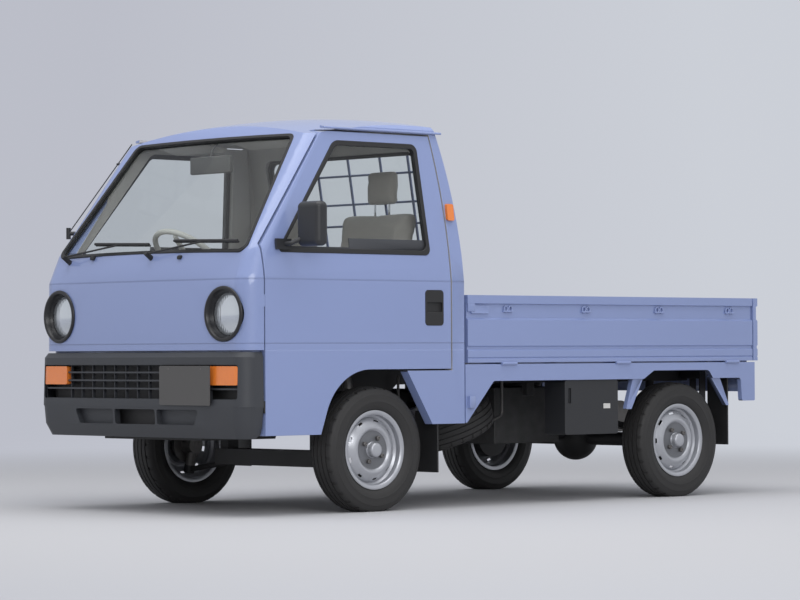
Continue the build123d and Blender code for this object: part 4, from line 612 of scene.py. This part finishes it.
# %% One tyre
tyre_rows = [
    (0.0495, 0.1535), (0.0495, 0.167), (0.052, 0.1705), (0.056, 0.174), (0.062, 0.183), (0.0668, 0.193),
    (0.069, 0.202), (0.0702, 0.203), (0.0706, 0.206), (0.07, 0.2075), (0.0708, 0.22), (0.07, 0.233),
    (0.07, 0.235), (0.0688, 0.2365), (0.066, 0.246), (0.0625, 0.254), (0.059, 0.258), (0.056, 0.2605),
    (0.0525, 0.2625), (0.039, 0.2652), (0.0384, 0.26), (0.0344, 0.2602), (0.0338, 0.266), (0.015, 0.2674),
    (0.0144, 0.262), (0.0104, 0.262), (0.0098, 0.2678), (0.0, 0.2679),
]
tyre_rows = tyre_rows + [(-along, radius) for along, radius in reversed(tyre_rows[:-1])]
inner_rows = [(-0.044, 0.16), (-0.058, 0.195), (-0.06, 0.225), (-0.048, 0.248), (0.048, 0.248),
              (0.06, 0.225), (0.058, 0.195), (0.044, 0.16), tyre_rows[0]]
tyre = turned("tyre", tyre_rows + inner_rows, 120)
tyre.data.materials.append(tyre_rubber)


def is_shoulder(face):
    middle = face.center
    radius = math.hypot(middle.y, middle.z)
    turn = math.degrees(math.atan2(middle.z, middle.y)) % 12
    return 0.0392 < abs(middle.x) < 0.06 and radius > 0.2565 and turn < 3.0


notched = choose_faces(tyre, is_shoulder)
bpy.ops.mesh.inset(thickness=0.0008, depth=-0.0035)
bpy.ops.object.mode_set(mode="OBJECT")
smooth(tyre, 32)
print("tyre", len(tyre.data.polygons), "faces, notches", notched)

# %% [markdown]
# ## Pressed steel wheels
# The wheel is a rolled barrel with a pressed disc welded in. The disc has a ring of small windows that
# cool the brake, a raised crown, and a flat seat for four nuts. The disc is turned as one sheet, the
# window faces are removed, and a Solidify gives the steel its thickness.

# %% Barrel and disc
barrel_rows = [
    (0.055, 0.166), (0.054, 0.1678), (0.0522, 0.1678), (0.0506, 0.1655), (0.05, 0.158), (0.047, 0.153),
    (0.024, 0.1505), (0.014, 0.138), (-0.01, 0.138), (-0.018, 0.149), (-0.047, 0.153),
    (-0.05, 0.158), (-0.0506, 0.1655), (-0.053, 0.1678), (-0.055, 0.166), (-0.055, 0.156),
    (-0.052, 0.149), (-0.02, 0.145), (-0.012, 0.1345), (0.016, 0.1345), (0.026, 0.147),
    (0.048, 0.149), (0.053, 0.154), (0.055, 0.16), (0.055, 0.166),
]
barrel = turned("barrel", barrel_rows, 96)
disc_rows = [
    (0.004, 0.134), (0.016, 0.1338), (0.0225, 0.1322), (0.0262, 0.129), (0.0315, 0.1205), (0.0352, 0.115),
    (0.04, 0.107), (0.044, 0.1), (0.0455, 0.095), (0.044, 0.09), (0.04, 0.086), (0.0368, 0.083),
    (0.0358, 0.078), (0.036, 0.066), (0.0365, 0.05), (0.0365, 0.03),
]
disc = turned("disc", disc_rows, 108)
WINDOW_PITCH = 360 / 9


def is_window(face):
    middle = face.center
    radius = math.hypot(middle.y, middle.z)
    turn = math.degrees(math.atan2(middle.z, middle.y)) % WINDOW_PITCH
    return 0.1195 < radius < 0.1305 and 15.0 < turn < 25.1


windows = choose_faces(disc, is_window)
bpy.ops.mesh.delete(type="FACE")
bpy.ops.object.mode_set(mode="OBJECT")
modify(disc, "SOLIDIFY", thickness=0.003, offset=0)
modify(disc, "BEVEL", width=0.001, segments=2, limit_method="ANGLE", angle_limit=math.radians(50))
smooth(disc, 40)
smooth(barrel, 35)
print("window faces removed", windows)

# %% [markdown]
# The nuts are six-sided with a chamfered top, and the cap in the middle covers the axle nut. Both are
# small, but they catch the light, and a wheel looks like a drawing without them.

# %% Nuts and cap
def wheel_nut(turn):
    clear()
    bpy.ops.mesh.primitive_cylinder_add(vertices=6, radius=0.0105, depth=0.014, location=(0.043, 0, 0.055),
                                        rotation=(0, math.pi / 2, 0))
    nut = apply_place(bpy.context.object)
    choose_faces(nut, lambda face: face.normal.x > 0.9)
    bpy.ops.mesh.inset(thickness=0.0035, depth=0.0022)
    bpy.ops.mesh.inset(thickness=0.0012, depth=-0.003)
    bpy.ops.object.mode_set(mode="OBJECT")
    modify(nut, "BEVEL", width=0.0006, segments=2, limit_method="ANGLE", angle_limit=math.radians(30))
    return put(nut, Matrix.Rotation(math.radians(turn), 4, "X"))


nuts = joined("nuts", [wheel_nut(45 + 90 * index) for index in range(4)])
cap = turned("cap", [(0.034, 0.0), (0.034, 0.033), (0.0365, 0.0358), (0.039, 0.0352), (0.042, 0.0322),
                     (0.06, 0.0308), (0.065, 0.029), (0.068, 0.024), (0.0692, 0.014), (0.0695, 0.0)], 48)
smooth(cap, 40)
smooth(nuts, 35)
wheel_parts = ((barrel, wheel_silver), (disc, wheel_silver), (nuts, dull_steel), (cap, wheel_silver))
for piece, material in wheel_parts:
    piece.data.materials.clear()
    piece.data.materials.append(material)
paint_faces(disc, hub_grey, lambda face: math.hypot(face.center.y, face.center.z) < 0.0815)
wheel = joined("wheel", [barrel, disc, nuts, cap])
print("wheel", len(wheel.data.polygons), "faces")

# %% Four corners and the spare
def corner_matrix(x, y, z):
    return Matrix.Translation((x, y, z)) @ Matrix.Rotation(0 if x > 0 else math.pi, 4, "Z")


CORNERS = (("front_left", WHEEL_X, FRONT_AXLE_Y), ("front_right", -WHEEL_X, FRONT_AXLE_Y),
           ("rear_left", WHEEL_X, REAR_AXLE_Y), ("rear_right", -WHEEL_X, REAR_AXLE_Y))
for index, (corner, x, y) in enumerate(CORNERS):
    spin = Matrix.Rotation(math.radians(17 + 31 * index), 4, "X")
    place = corner_matrix(x, y, AXLE_Z) @ spin
    steel = put(copy_of(wheel, "wheel_" + corner), place)
    body = body_of("rim_" + corner)
    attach(steel, body)
    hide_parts("rim_" + corner)
    rubber = put(copy_of(tyre, "tyre_look_" + corner), place)
    dress(rubber, tyre_rubber, body, ("tyre_" + corner,))
SPARE_MIDDLE = (0.24, -0.08, 0.356)
SPARE_TILT = math.radians(20)
spare_place = (Matrix.Translation(SPARE_MIDDLE) @ Matrix.Rotation(SPARE_TILT, 4, "X")
               @ Matrix.Rotation(math.pi / 2, 4, "Y"))
spare = joined("spare", [put(copy_of(tyre, "spare_tyre"), spare_place), put(wheel, spare_place)])
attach(spare, ROOT)
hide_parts("spare_wheel")
bpy.data.objects.remove(tyre)
print("wheels placed")

# %% [markdown]
# ## Headlamps
# Each lamp is a round sealed beam, set back in a black plastic dish whose rim stands on the panel. The
# lens is domed glass over a bright bowl, moulded with fine upright ribs.

# %% Lamps and dishes
HEADLAMP_PLACE = (0.555, -1.5605, 0.832)
HEADLAMP_TURN = 2.5


def lamp_matrix(side):
    x, y, z = HEADLAMP_PLACE
    facing = Matrix.Rotation(math.radians(-90 + HEADLAMP_TURN * side), 4, "Z")
    return Matrix.Translation((x * side, y, z)) @ facing


dish = turned("dish", [(-0.05, 0.102), (-0.002, 0.102), (0.0006, 0.103), (0.0006, 0.114), (0.003, 0.1149),
                       (0.0062, 0.1143), (0.0088, 0.1115), (0.0098, 0.107), (0.0094, 0.102), (0.0074, 0.0995),
                       (-0.012, 0.0938), (-0.018, 0.092), (-0.02, 0.0905), (-0.0235, 0.0896),
                       (-0.024, 0.0893), (-0.05, 0.0893), (-0.05, 0.102)], 120)
lens_glass = turned("lens_glass", [(-0.052, 0.0), (-0.052, 0.0885), (-0.029, 0.0885), (-0.0262, 0.0878),
                                   (-0.0235, 0.084), (-0.0205, 0.076), (-0.0165, 0.062), (-0.0128, 0.044),
                                   (-0.01, 0.022), (-0.0092, 0.0)], 96)
smooth(dish, 38)
smooth(lens_glass, 38)
for side, name in ((1, "left"), (-1, "right")):
    cover = put(copy_of(dish, "lamp_dish_" + name), lamp_matrix(side))
    dress(cover, bezel_black, ROOT, ("headlamp_bezels",))
    beam = put(copy_of(lens_glass, "lamp_lens_" + name), lamp_matrix(side))
    dress(beam, beam_glass, ROOT, ("headlamps",))
bpy.data.objects.remove(dish)
bpy.data.objects.remove(lens_glass)
print("headlamps placed")

# %% [markdown]
# ## Steering wheel
# A thin-rimmed wheel with two wide spokes set low and a soft pad in the middle. The rim is turned from
# a round outline, and the spokes are blocks with tapered ends.

# %% Steering wheel
rim_outline = [(0.0125 * math.sin(math.radians(a)), 0.172 + 0.0125 * math.cos(math.radians(a)))
               for a in range(0, 361, 30)]
hand_rim = turned("hand_rim", rim_outline, 96)
pad = turned("pad", [(-0.046, 0.0), (-0.046, 0.043), (-0.02, 0.0455), (-0.006, 0.044), (-0.0025, 0.04),
                     (-0.0022, 0.0)], 48)
shaft = turned("shaft", [(-0.0895, 0.0), (-0.0895, 0.0175), (-0.045, 0.0175), (-0.045, 0.0)], 24)


def wheel_spoke(turn):
    clear()
    bpy.ops.mesh.primitive_cube_add(size=1, location=(-0.012, 0, 0.0885))
    arm = bpy.context.object
    arm.scale = (0.013, 0.038, 0.15)
    apply_place(arm)
    choose_faces(arm, lambda face: face.normal.z > 0.9)
    bpy.ops.transform.resize(value=(0.8, 0.62, 1))
    bpy.ops.object.mode_set(mode="OBJECT")
    modify(arm, "BEVEL", width=0.005, segments=3)
    return put(arm, Matrix.Rotation(math.radians(turn), 4, "X"))


hand_wheel = joined("hand_wheel", [hand_rim, pad, shaft, wheel_spoke(110), wheel_spoke(-110)])
smooth(hand_wheel, 45)
STEERING_X = -0.32
tilted = (Matrix.Translation((STEERING_X, -1.028, 1.094)) @ Matrix.Rotation(math.radians(-40), 4, "X")
          @ Matrix.Rotation(-math.pi / 2, 4, "Y"))
put(hand_wheel, tilted)
dress(hand_wheel, cabin_pale, body_of("steering_wheel"), ("steering_wheel",))
print("steering wheel", [round(v, 3) for v in hand_wheel.bound_box[0]])

# %% [markdown]
# ## Inside faces and hidden faces
# One CAD solid carries the outside paint, the lining inside and the dark underside. A face belongs to
# the inside when it looks towards the middle of the cab. The blue nose behind the bumper gets a painted
# shade, almost black, so the panel is first cut along a level plane with the bisect tool.

# %% Face materials
CAB_MIDDLE = Vector((0, -0.9, 1.1))


def bisected(piece, point, normal, keep="both"):
    pick(piece)
    bpy.ops.object.mode_set(mode="EDIT")
    bpy.ops.mesh.select_all(action="SELECT")
    inner = keep == "inner"
    bpy.ops.mesh.bisect(plane_co=point, plane_no=normal, clear_outer=inner, use_fill=inner)
    bpy.ops.object.mode_set(mode="OBJECT")
    return piece


def looks_inside(face):
    return face.center.z > 0.44 and face.normal.dot((CAB_MIDDLE - face.center).normalized()) > 0.12


shell = bisected(panels["cab_shell"], (0, 0, 0.668), (0, 0, 1))
print("lining", paint_faces(shell, cabin_lining, looks_inside))
# Painted shade: the blue nose behind the bumper is painted near black.
print("nose", paint_faces(shell, chassis_black, lambda face: face.center.z < 0.668 and face.center.y < -1.46))
print("floor", paint_faces(shell, chassis_black, lambda face: face.normal.z < -0.6 and face.center.z < 0.62))
for name in ("door_left", "door_right"):
    print(name, paint_faces(panels[name], cabin_lining, looks_inside))
print("tail lamps", paint_faces(panels["signal_lamps"], red_lens, lambda face: face.center.y > 1.5))
# The bed's downward faces get the painted shade in dark blue.
print("bed", paint_faces(panels["bed"], painted_under_shade, lambda face: face.normal.z < -0.6))

# %% [markdown]
# ## Seats
# Foam under cloth swells: the middle is crowned and the edges pull in. Each pad starts as an extruded
# outline, is remeshed into small even faces, and is swelled by a short cloth simulation with air
# pressure, which lifts the faces while the corners hold back.

# %% Padded block
PAD_VOXEL = 0.0055
SWELL_FRAMES = 14
SWELL_PRESSURE = 4.0


def pad_block(name, outline_yz, x_low, x_high, bevel, cap=0.012):
    """Outline is (y, z) round the side of the pad; it is extruded across, softened and swelled."""
    clear()
    bpy.ops.mesh.primitive_circle_add(vertices=len(outline_yz), radius=0.1, fill_type="NGON")
    pad_piece = bpy.context.object
    pad_piece.name = name
    for vertex, (y, z) in zip(pad_piece.data.vertices, outline_yz):
        vertex.co = (x_low, y, z)
    bpy.ops.object.mode_set(mode="EDIT")
    bpy.ops.mesh.select_all(action="SELECT")
    bpy.ops.mesh.extrude_region_move(TRANSFORM_OT_translate={"value": (x_high - x_low, 0, 0)})
    bpy.ops.mesh.select_all(action="SELECT")
    bpy.ops.mesh.normals_make_consistent(inside=False)
    bpy.ops.object.mode_set(mode="OBJECT")
    modify(pad_piece, "BEVEL", width=bevel, segments=4, limit_method="ANGLE", angle_limit=math.radians(25))
    modify(pad_piece, "REMESH", mode="VOXEL", voxel_size=PAD_VOXEL)
    start = [vertex.co.copy() for vertex in pad_piece.data.vertices]
    pick(pad_piece)
    cloth = pad_piece.modifiers.new("cloth", "CLOTH")
    cloth.settings.use_pressure = True
    cloth.settings.uniform_pressure_force = SWELL_PRESSURE
    cloth.settings.effector_weights.gravity = 0.0
    cloth.point_cache.frame_start = 1
    cloth.point_cache.frame_end = SWELL_FRAMES
    for step in range(1, SWELL_FRAMES + 1):
        bpy.context.scene.frame_set(step)
    bpy.ops.object.modifier_apply(modifier=cloth.name)
    for vertex, before in zip(pad_piece.data.vertices, start):
        moved = vertex.co - before
        if moved.length > cap:
            vertex.co = before + moved.normalized() * cap
    bpy.context.scene.frame_set(1)
    modify(pad_piece, "SMOOTH", factor=0.5, iterations=4)
    smooth(pad_piece, 60)
    return pad_piece


# %% Cushions, backs and headrests
CUSHION_SIDE = [(-1.068, 0.646), (-1.082, 0.702), (-1.066, 0.752), (-1.01, 0.76), (-0.655, 0.738),
                (-0.655, 0.646)]
BACK_SIDE = [(-0.616, 0.65), (-0.61, 0.77), (-0.512, 1.24), (-0.498, 1.27), (-0.44, 1.276),
             (-0.43, 1.24), (-0.53, 0.65)]
HEADREST_SIDE = [(-0.47, 1.318), (-0.474, 1.4), (-0.466, 1.462), (-0.43, 1.462), (-0.424, 1.4),
                 (-0.43, 1.318)]
SEAT_X = 0.31
pads = []
for side, label in ((1, "left"), (-1, "right")):
    middle = SEAT_X * side
    cushion = pad_block("seat_cushion_" + label, CUSHION_SIDE, middle - 0.226, middle + 0.226, 0.026)
    backrest = pad_block("seat_back_" + label, BACK_SIDE, middle - 0.208, middle + 0.208, 0.022)
    headrest = pad_block("headrest_" + label, HEADREST_SIDE, middle - 0.086, middle + 0.086, 0.018, 0.008)
    for piece, fill in ((cushion, 0.7), (backrest, 0.7), (headrest, 0.9)):
        dress(piece, seat_cloth, ROOT, ("seats",))
        pads.append(piece)
    stalks = []
    for x in (middle - 0.045, middle + 0.045):
        clear()
        bpy.ops.mesh.primitive_cylinder_add(vertices=20, radius=0.005, depth=0.09,
                                            location=(x, -0.452, 1.296))
        stalks.append(apply_place(bpy.context.object))
    posts = joined("headrest_posts_" + label, stalks)
    choose_faces(posts, lambda face: face.normal.z < -0.9)
    bpy.ops.mesh.inset(thickness=0.001, depth=0.002)
    bpy.ops.object.mode_set(mode="OBJECT")
    dress(smooth(posts), chrome, ROOT, ("seats",))
print("pads", [(piece.name, len(piece.data.polygons)) for piece in pads])

# %% [markdown]
# ## Small blocks
# Latches, hooks, hinges, labels and stops are all small castings or mouldings. One helper makes a block
# of the right size with rolled edges, whose outer face may be inset, which is how a moulded edge or a
# raised border is made by hand.

# %% Block helper
def moulding(name, low, high, roll=0.002, side=None, border=0.0, sink=0.0, segments=3):
    clear()
    middle = [(a + b) / 2 for a, b in zip(low, high)]
    bpy.ops.mesh.primitive_cube_add(size=1, location=middle)
    piece = bpy.context.object
    piece.name = name
    piece.scale = [b - a for a, b in zip(low, high)]
    apply_place(piece)
    if side:
        facing = Vector(side)
        choose_faces(piece, lambda face: face.normal.dot(facing) > 0.9)
        bpy.ops.mesh.inset(thickness=border, depth=sink)
        bpy.ops.object.mode_set(mode="OBJECT")
    modify(piece, "BEVEL", width=roll, segments=segments, limit_method="ANGLE", angle_limit=math.radians(30))
    return smooth(piece, 40)


def sided(side, inner, outer, y_low, y_high, z_low, z_high):
    """The low and high corners of a box at the left (side 1) or the right (side -1)."""
    low_x, high_x = sorted((inner * side, outer * side))
    return (low_x, y_low, z_low), (high_x, y_high, z_high)


def rod_between(name, points, radius, sides=12):
    """A bent rod: a curve with a round section, made a mesh."""
    curve = bpy.data.curves.new(name, "CURVE")
    curve.dimensions = "3D"
    curve.bevel_depth = radius
    curve.bevel_resolution = max(1, sides // 4 - 1)
    curve.use_fill_caps = True
    line = curve.splines.new("POLY")
    line.points.add(len(points) - 1)
    for point, place in zip(line.points, points):
        point.co = (*place, 1)
    holder = bpy.data.objects.new(name, curve)
    bpy.context.scene.collection.objects.link(holder)
    pick(holder)
    bpy.ops.object.convert(target="MESH")
    return smooth(bpy.context.object, 60)


print("helpers for small pieces ready")

# %% [markdown]
# ## Fittings of the load bed
# The drop sides carry paired rope hooks, a lever latch at the front end and a rubber cap on the top
# corner. They hang on three barrel hinges under the lower edge. Everything rides on its own gate.

# %% Hooks, latches, caps and hinges
GATE_FACE_X = 0.6875
GATE_SKIN_X = 0.6968
HOOK_ROWS = (-0.059, 0.434, 0.917, 1.402)
HOOK_Z = 0.858
HINGE_ROWS = (-0.061, 0.667, 1.413)
HINGE_Z = 0.6345


def gate_fittings(side, label):
    body = body_of("gate_" + label)
    hooks = []
    for y in HOOK_ROWS:
        seat_box = sided(side, GATE_FACE_X, GATE_SKIN_X, y - 0.03, y + 0.03, 0.845, 0.852)
        hooks.append(moulding("seat", *seat_box, 0.001))
        for shift in (-0.014, 0.014):
            turns = [math.radians(30 * step) for step in range(13)]
            ring = [(GATE_FACE_X * side + 0.0045 * side, y + shift + 0.011 * math.cos(turn),
                     HOOK_Z + 0.013 * math.sin(turn)) for turn in turns]
            hooks.append(rod_between("loop", ring, 0.0032))
    dress(joined("rope_hooks_" + label, hooks), body_paint, body)
    plate_box = sided(side, GATE_FACE_X, GATE_SKIN_X, -0.284, -0.18, 0.838, 0.872)
    arm_box = sided(side, GATE_FACE_X, GATE_SKIN_X, -0.306, -0.262, 0.846, 0.9)
    lever = [moulding("plate", *plate_box, 0.002, (side, 0, 0), 0.005, -0.002),
             moulding("arm", *arm_box, 0.003)]
    dress(joined("latch_" + label, lever), body_paint, body)
    knuckles = []
    for y in HINGE_ROWS:
        for shift in (-0.022, 0.0, 0.022):
            clear()
            bpy.ops.mesh.primitive_cylinder_add(vertices=20, radius=0.0065, depth=0.0205,
                                                location=(GATE_FACE_X * side, y + shift, HINGE_Z),
                                                rotation=(math.pi / 2, 0, 0))
            knuckle = apply_place(bpy.context.object)
            knuckles.append(modify(knuckle, "BEVEL", width=0.001, segments=2, limit_method="ANGLE"))
    dress(smooth(joined("hinge_barrels_" + label, knuckles)), dull_steel, body)
    cap_box = sided(side, 0.67, GATE_SKIN_X, -0.3088, -0.29, 0.884, 0.9178)
    dress(moulding("gate_cap_" + label, *cap_box, 0.003), black_rubber, body)


gate_fittings(1, "left")
gate_fittings(-1, "right")
print("gate fittings done")

# %% [markdown]
# ## Door windows
# The glass drops behind a dark sash panel along the belt line. The panel follows the leaning glass, so a
# copy of the glass is cut down with the bisect tool and pushed out by a little.

# %% Sash panels
def glass_panel(node, name, cuts, material, proud=0.0012):
    """A copy of the door glass, cut by planes of (point, normal to clear), and swelled outwards."""
    source = nodes[node]
    piece = bpy.data.objects.new(name, source.data.copy())
    bpy.context.scene.collection.objects.link(piece)
    pick(piece)
    bpy.ops.object.mode_set(mode="EDIT")
    bpy.ops.mesh.select_mode(type="VERT")
    bpy.ops.mesh.select_all(action="SELECT")
    bpy.ops.mesh.remove_doubles(threshold=0.00003)
    bpy.ops.object.mode_set(mode="OBJECT")
    for point, normal in cuts:
        bisected(piece, point, normal, keep="inner")
    modify(piece, "DISPLACE", strength=proud, mid_level=0.0)
    dress(smooth(piece), material, body_of(node))
    return piece


LOW_SASH_TOP = ((0, 0, 1.111), (0, 0, 1))
HIGH_SASH_TOP = ((0, 0, 1.149), (0, 0, 1))
HIGH_SASH_FRONT = ((0, -0.971, 0), (0, -1, 0))
for label in ("left", "right"):
    node = "door_glass_" + label
    glass_panel(node, "sash_front_" + label, [LOW_SASH_TOP], sash_grey)
    glass_panel(node, "sash_rear_" + label, [HIGH_SASH_TOP, HIGH_SASH_FRONT], sash_grey, 0.0016)
print("sash panels placed")

# %% [markdown]
# ## Inside the cab
# Through the large windscreen one sees the mirror, the folded sun visors and the column stalks. Each is
# a thin padded or moulded shape with soft edges.

# %% Mirror, visors and stalks
inside_mirror = moulding("inside_mirror", (-0.133, -1.176, 1.4425), (0.133, -1.154, 1.5175), 0.009,
                         (0, 1, 0), 0.006, -0.002, 5)
mirror_stem = rod_between("mirror_stem", [(0, -1.168, 1.506), (0, -1.16, 1.545), (0, -1.128, 1.58)], 0.006)
mirror_both = joined("inside_mirror", [inside_mirror, mirror_stem])
dress(mirror_both, cabin_trim, ROOT)
for side, label in ((1, "left"), (-1, "right")):
    visor_box = sided(side, 0.075, 0.43, -1.13, -1.005, 1.56, 1.576)
    visor = moulding("sun_visor_" + label, *visor_box, 0.0075, (0, 0, -1), 0.02, 0.002, 5)
    put(visor, Matrix.Translation((0, -1.068, 1.568)) @ Matrix.Rotation(math.radians(-14), 4, "X")
        @ Matrix.Translation((0, 1.068, -1.568)))
    dress(visor, cabin_lining, ROOT)
stalks = []
for way in (-1, 1):
    stalk_ends = [(STEERING_X + 0.03 * way, -1.08, 1.03), (STEERING_X + 0.19 * way, -1.074, 1.04)]
    stalks.append(rod_between("stalk", stalk_ends, 0.0055))
dress(joined("column_stalks", stalks), cabin_trim, ROOT)
print("inside fittings placed")

# %% [markdown]
# ## Nose fittings
# Two washer nozzles stand under the windscreen, and two screws hold the blank plate.

# %% Nozzles and screws
for index, place in enumerate(((-0.361, -1.529, 1.079), (0.237, -1.533, 1.069))):
    nozzle = moulding("washer_nozzle_%d" % index, (place[0] - 0.01, place[1] - 0.01, place[2] - 0.006),
                      (place[0] + 0.01, place[1] + 0.016, place[2] + 0.009), 0.004, (0, 0, 1), 0.004, 0.002)
    dress(nozzle, black_rubber, ROOT)
screws = []
for x in (0.237, 0.447):
    clear()
    bpy.ops.mesh.primitive_cylinder_add(vertices=24, radius=0.008, depth=0.006, location=(x, -1.5928, 0.605),
                                        rotation=(math.pi / 2, 0, 0))
    screw = apply_place(bpy.context.object)
    choose_faces(screw, lambda face: face.normal.y < -0.9)
    bpy.ops.mesh.inset(thickness=0.003, depth=0.0015)
    bpy.ops.object.mode_set(mode="OBJECT")
    screws.append(screw)
dress(smooth(joined("plate_screws", screws)), dull_steel, ROOT)
print("nose fittings placed")

# %% [markdown]
# ## Under the bed
# Rubber stops hang under the front corners and the tool box carries a blank label.

# %% Stops and label
for side, label in ((1, "left"), (-1, "right")):
    stop_box = sided(side, 0.655, 0.69, -0.309, -0.284, 0.437, 0.474)
    stop = moulding("bed_stop_" + label, *stop_box, 0.004, (side, 0, 0), 0.006, 0.0015)
    dress(stop, black_rubber, ROOT)
label_blank = moulding("tool_box_label", (0.687, 0.548, 0.415), (0.6888, 0.592, 0.437), 0.0006,
                       (1, 0, 0), 0.0015, -0.0003)
dress(label_blank, cabin_pale, ROOT)
print("stops and label placed")

# %% [markdown]
# ## The studio
# Floor and wall are one seamless pale sheet with a wide bend. A soft sky does most of the lighting, and
# two large lamps give the body its gentle highlights.

# %% Backdrop
PAPER_WIDTH, PAPER_DEPTH = 60, 40
BACK_EDGE = PAPER_DEPTH / 2 - 1
BEND_RADIUS = 9
BEND_STEPS = 12
WALL_HEIGHT = 22
NEARER = 8
clear()
bpy.ops.mesh.primitive_plane_add(size=1, location=(0, 0, 0))
backdrop = bpy.context.object
backdrop.name = "backdrop"
backdrop.scale = (PAPER_WIDTH, PAPER_DEPTH, 1)
bpy.ops.object.transform_apply(location=False, rotation=False, scale=True)
bpy.ops.object.mode_set(mode="EDIT")
bpy.ops.mesh.select_all(action="DESELECT")
bpy.ops.mesh.select_mode(type="EDGE")
bpy.ops.object.mode_set(mode="OBJECT")
for edge in backdrop.data.edges:
    edge.select = all(backdrop.data.vertices[v].co.y > BACK_EDGE for v in edge.vertices)
bpy.ops.object.mode_set(mode="EDIT")
for step in range(1, BEND_STEPS + 1):
    angle = math.radians(90 / BEND_STEPS * step)
    before = math.radians(90 / BEND_STEPS * (step - 1))
    reach = BEND_RADIUS * (math.sin(angle) - math.sin(before))
    rise = BEND_RADIUS * (math.cos(before) - math.cos(angle))
    bpy.ops.mesh.extrude_region_move(TRANSFORM_OT_translate={"value": (0, reach, rise)})
bpy.ops.mesh.extrude_region_move(TRANSFORM_OT_translate={"value": (0, 0, WALL_HEIGHT)})
bpy.ops.mesh.select_all(action="SELECT")
bpy.ops.transform.translate(value=(0, -NEARER, 0))
bpy.ops.object.mode_set(mode="OBJECT")
backdrop.data.transform(Matrix.Rotation(YAW, 4, "Z"))
smooth(backdrop, 60)
print("backdrop", len(backdrop.data.polygons), "faces")

# %% Backdrop paper and lights
paper = finish("paper", (0.5, 0.5, 0.515), (0.49, 0.49, 0.505), amount=0.4, scale=0.4, rough=(0.75, 0.85),
               grain_strength=0)
backdrop.data.materials.append(paper)
SWEEP_REACH = 3.2


def backdrop_painted_light(material, near, far, left_color, right_color):
    """Far from the vehicle the paper glows with painted light, darker at the left and brighter at the right,
    so that no horizon shows.
    """
    tree = material.node_tree
    place = add_node(tree, "TexCoord")
    reach = add_node(tree, "VectorMath", operation="LENGTH")
    mask = add_node(tree, "MapRange", interpolation_type="SMOOTHSTEP")
    mask.inputs["From Min"].default_value = near
    mask.inputs["From Max"].default_value = far
    across = add_node(tree, "VectorMath", operation="DOT_PRODUCT")
    across.inputs[1].default_value = (math.cos(YAW), math.sin(YAW), 0)
    light_sweep = add_node(tree, "MapRange")
    light_sweep.inputs["From Min"].default_value = -SWEEP_REACH
    light_sweep.inputs["From Max"].default_value = SWEEP_REACH
    blend = add_node(tree, "Mix", data_type="RGBA")
    blend.inputs["A"].default_value = (*left_color, 1)
    blend.inputs["B"].default_value = (*right_color, 1)
    glow = add_node(tree, "Emission")
    path = add_node(tree, "LightPath")
    seen = add_node(tree, "Math", operation="ADD")
    seen_all = add_node(tree, "Math", operation="ADD", use_clamp=True)
    share = add_node(tree, "Math", operation="MULTIPLY")
    mixed = add_node(tree, "MixShader")
    connect(
        tree,
        (place.outputs["Object"], reach.inputs[0]), (reach.outputs["Value"], mask.inputs["Value"]),
        (place.outputs["Object"], across.inputs[0]), (across.outputs["Value"], light_sweep.inputs["Value"]),
        (light_sweep.outputs["Result"], blend.inputs["Factor"]), (blend.outputs["Result"], glow.inputs["Color"]),
        (path.outputs["Is Camera Ray"], seen.inputs[0]), (path.outputs["Is Glossy Ray"], seen.inputs[1]),
        (seen.outputs[0], seen_all.inputs[0]), (path.outputs["Is Transmission Ray"], seen_all.inputs[1]),
        (seen_all.outputs[0], share.inputs[0]), (mask.outputs["Result"], share.inputs[1]),
        (share.outputs[0], mixed.inputs["Fac"]),
        (tree.nodes["Principled BSDF"].outputs["BSDF"], mixed.inputs[1]),
        (glow.outputs["Emission"], mixed.inputs[2]),
        (mixed.outputs["Shader"], tree.nodes["Material Output"].inputs["Surface"]),
    )


# Painted light: the far paper glows from darker at the left to brighter at the right, also in reflections.
backdrop_painted_light(paper, 3.0, 9.0, (0.5, 0.515, 0.58), (0.6, 0.625, 0.68))
world = bpy.data.worlds.new("studio")
bpy.context.scene.world = world
world.use_nodes = True
world.node_tree.nodes["Background"].inputs["Color"].default_value = (0.93, 0.95, 1.0, 1)
world.node_tree.nodes["Background"].inputs["Strength"].default_value = 0.75


def soft_lamp(name, place, aim, size, power):
    light = bpy.data.lights.new(name, "AREA")
    light.shape = "RECTANGLE"
    light.size, light.size_y = size
    light.energy = power
    lamp = bpy.data.objects.new(name, light)
    bpy.context.scene.collection.objects.link(lamp)
    lamp.location = place
    lamp.rotation_euler = (Vector(aim) - Vector(place)).to_track_quat("-Z", "Y").to_euler()
    return lamp


soft_lamp("overhead", (1.0, -1.0, 6.0), (0, 0, 0.8), (7, 5), 260)
soft_lamp("front_left", (7.0, -5.0, 3.5), (0, 0, 0.9), (4, 3), 160)

# %% View
bpy.context.scene.view_settings.view_transform = "Standard"
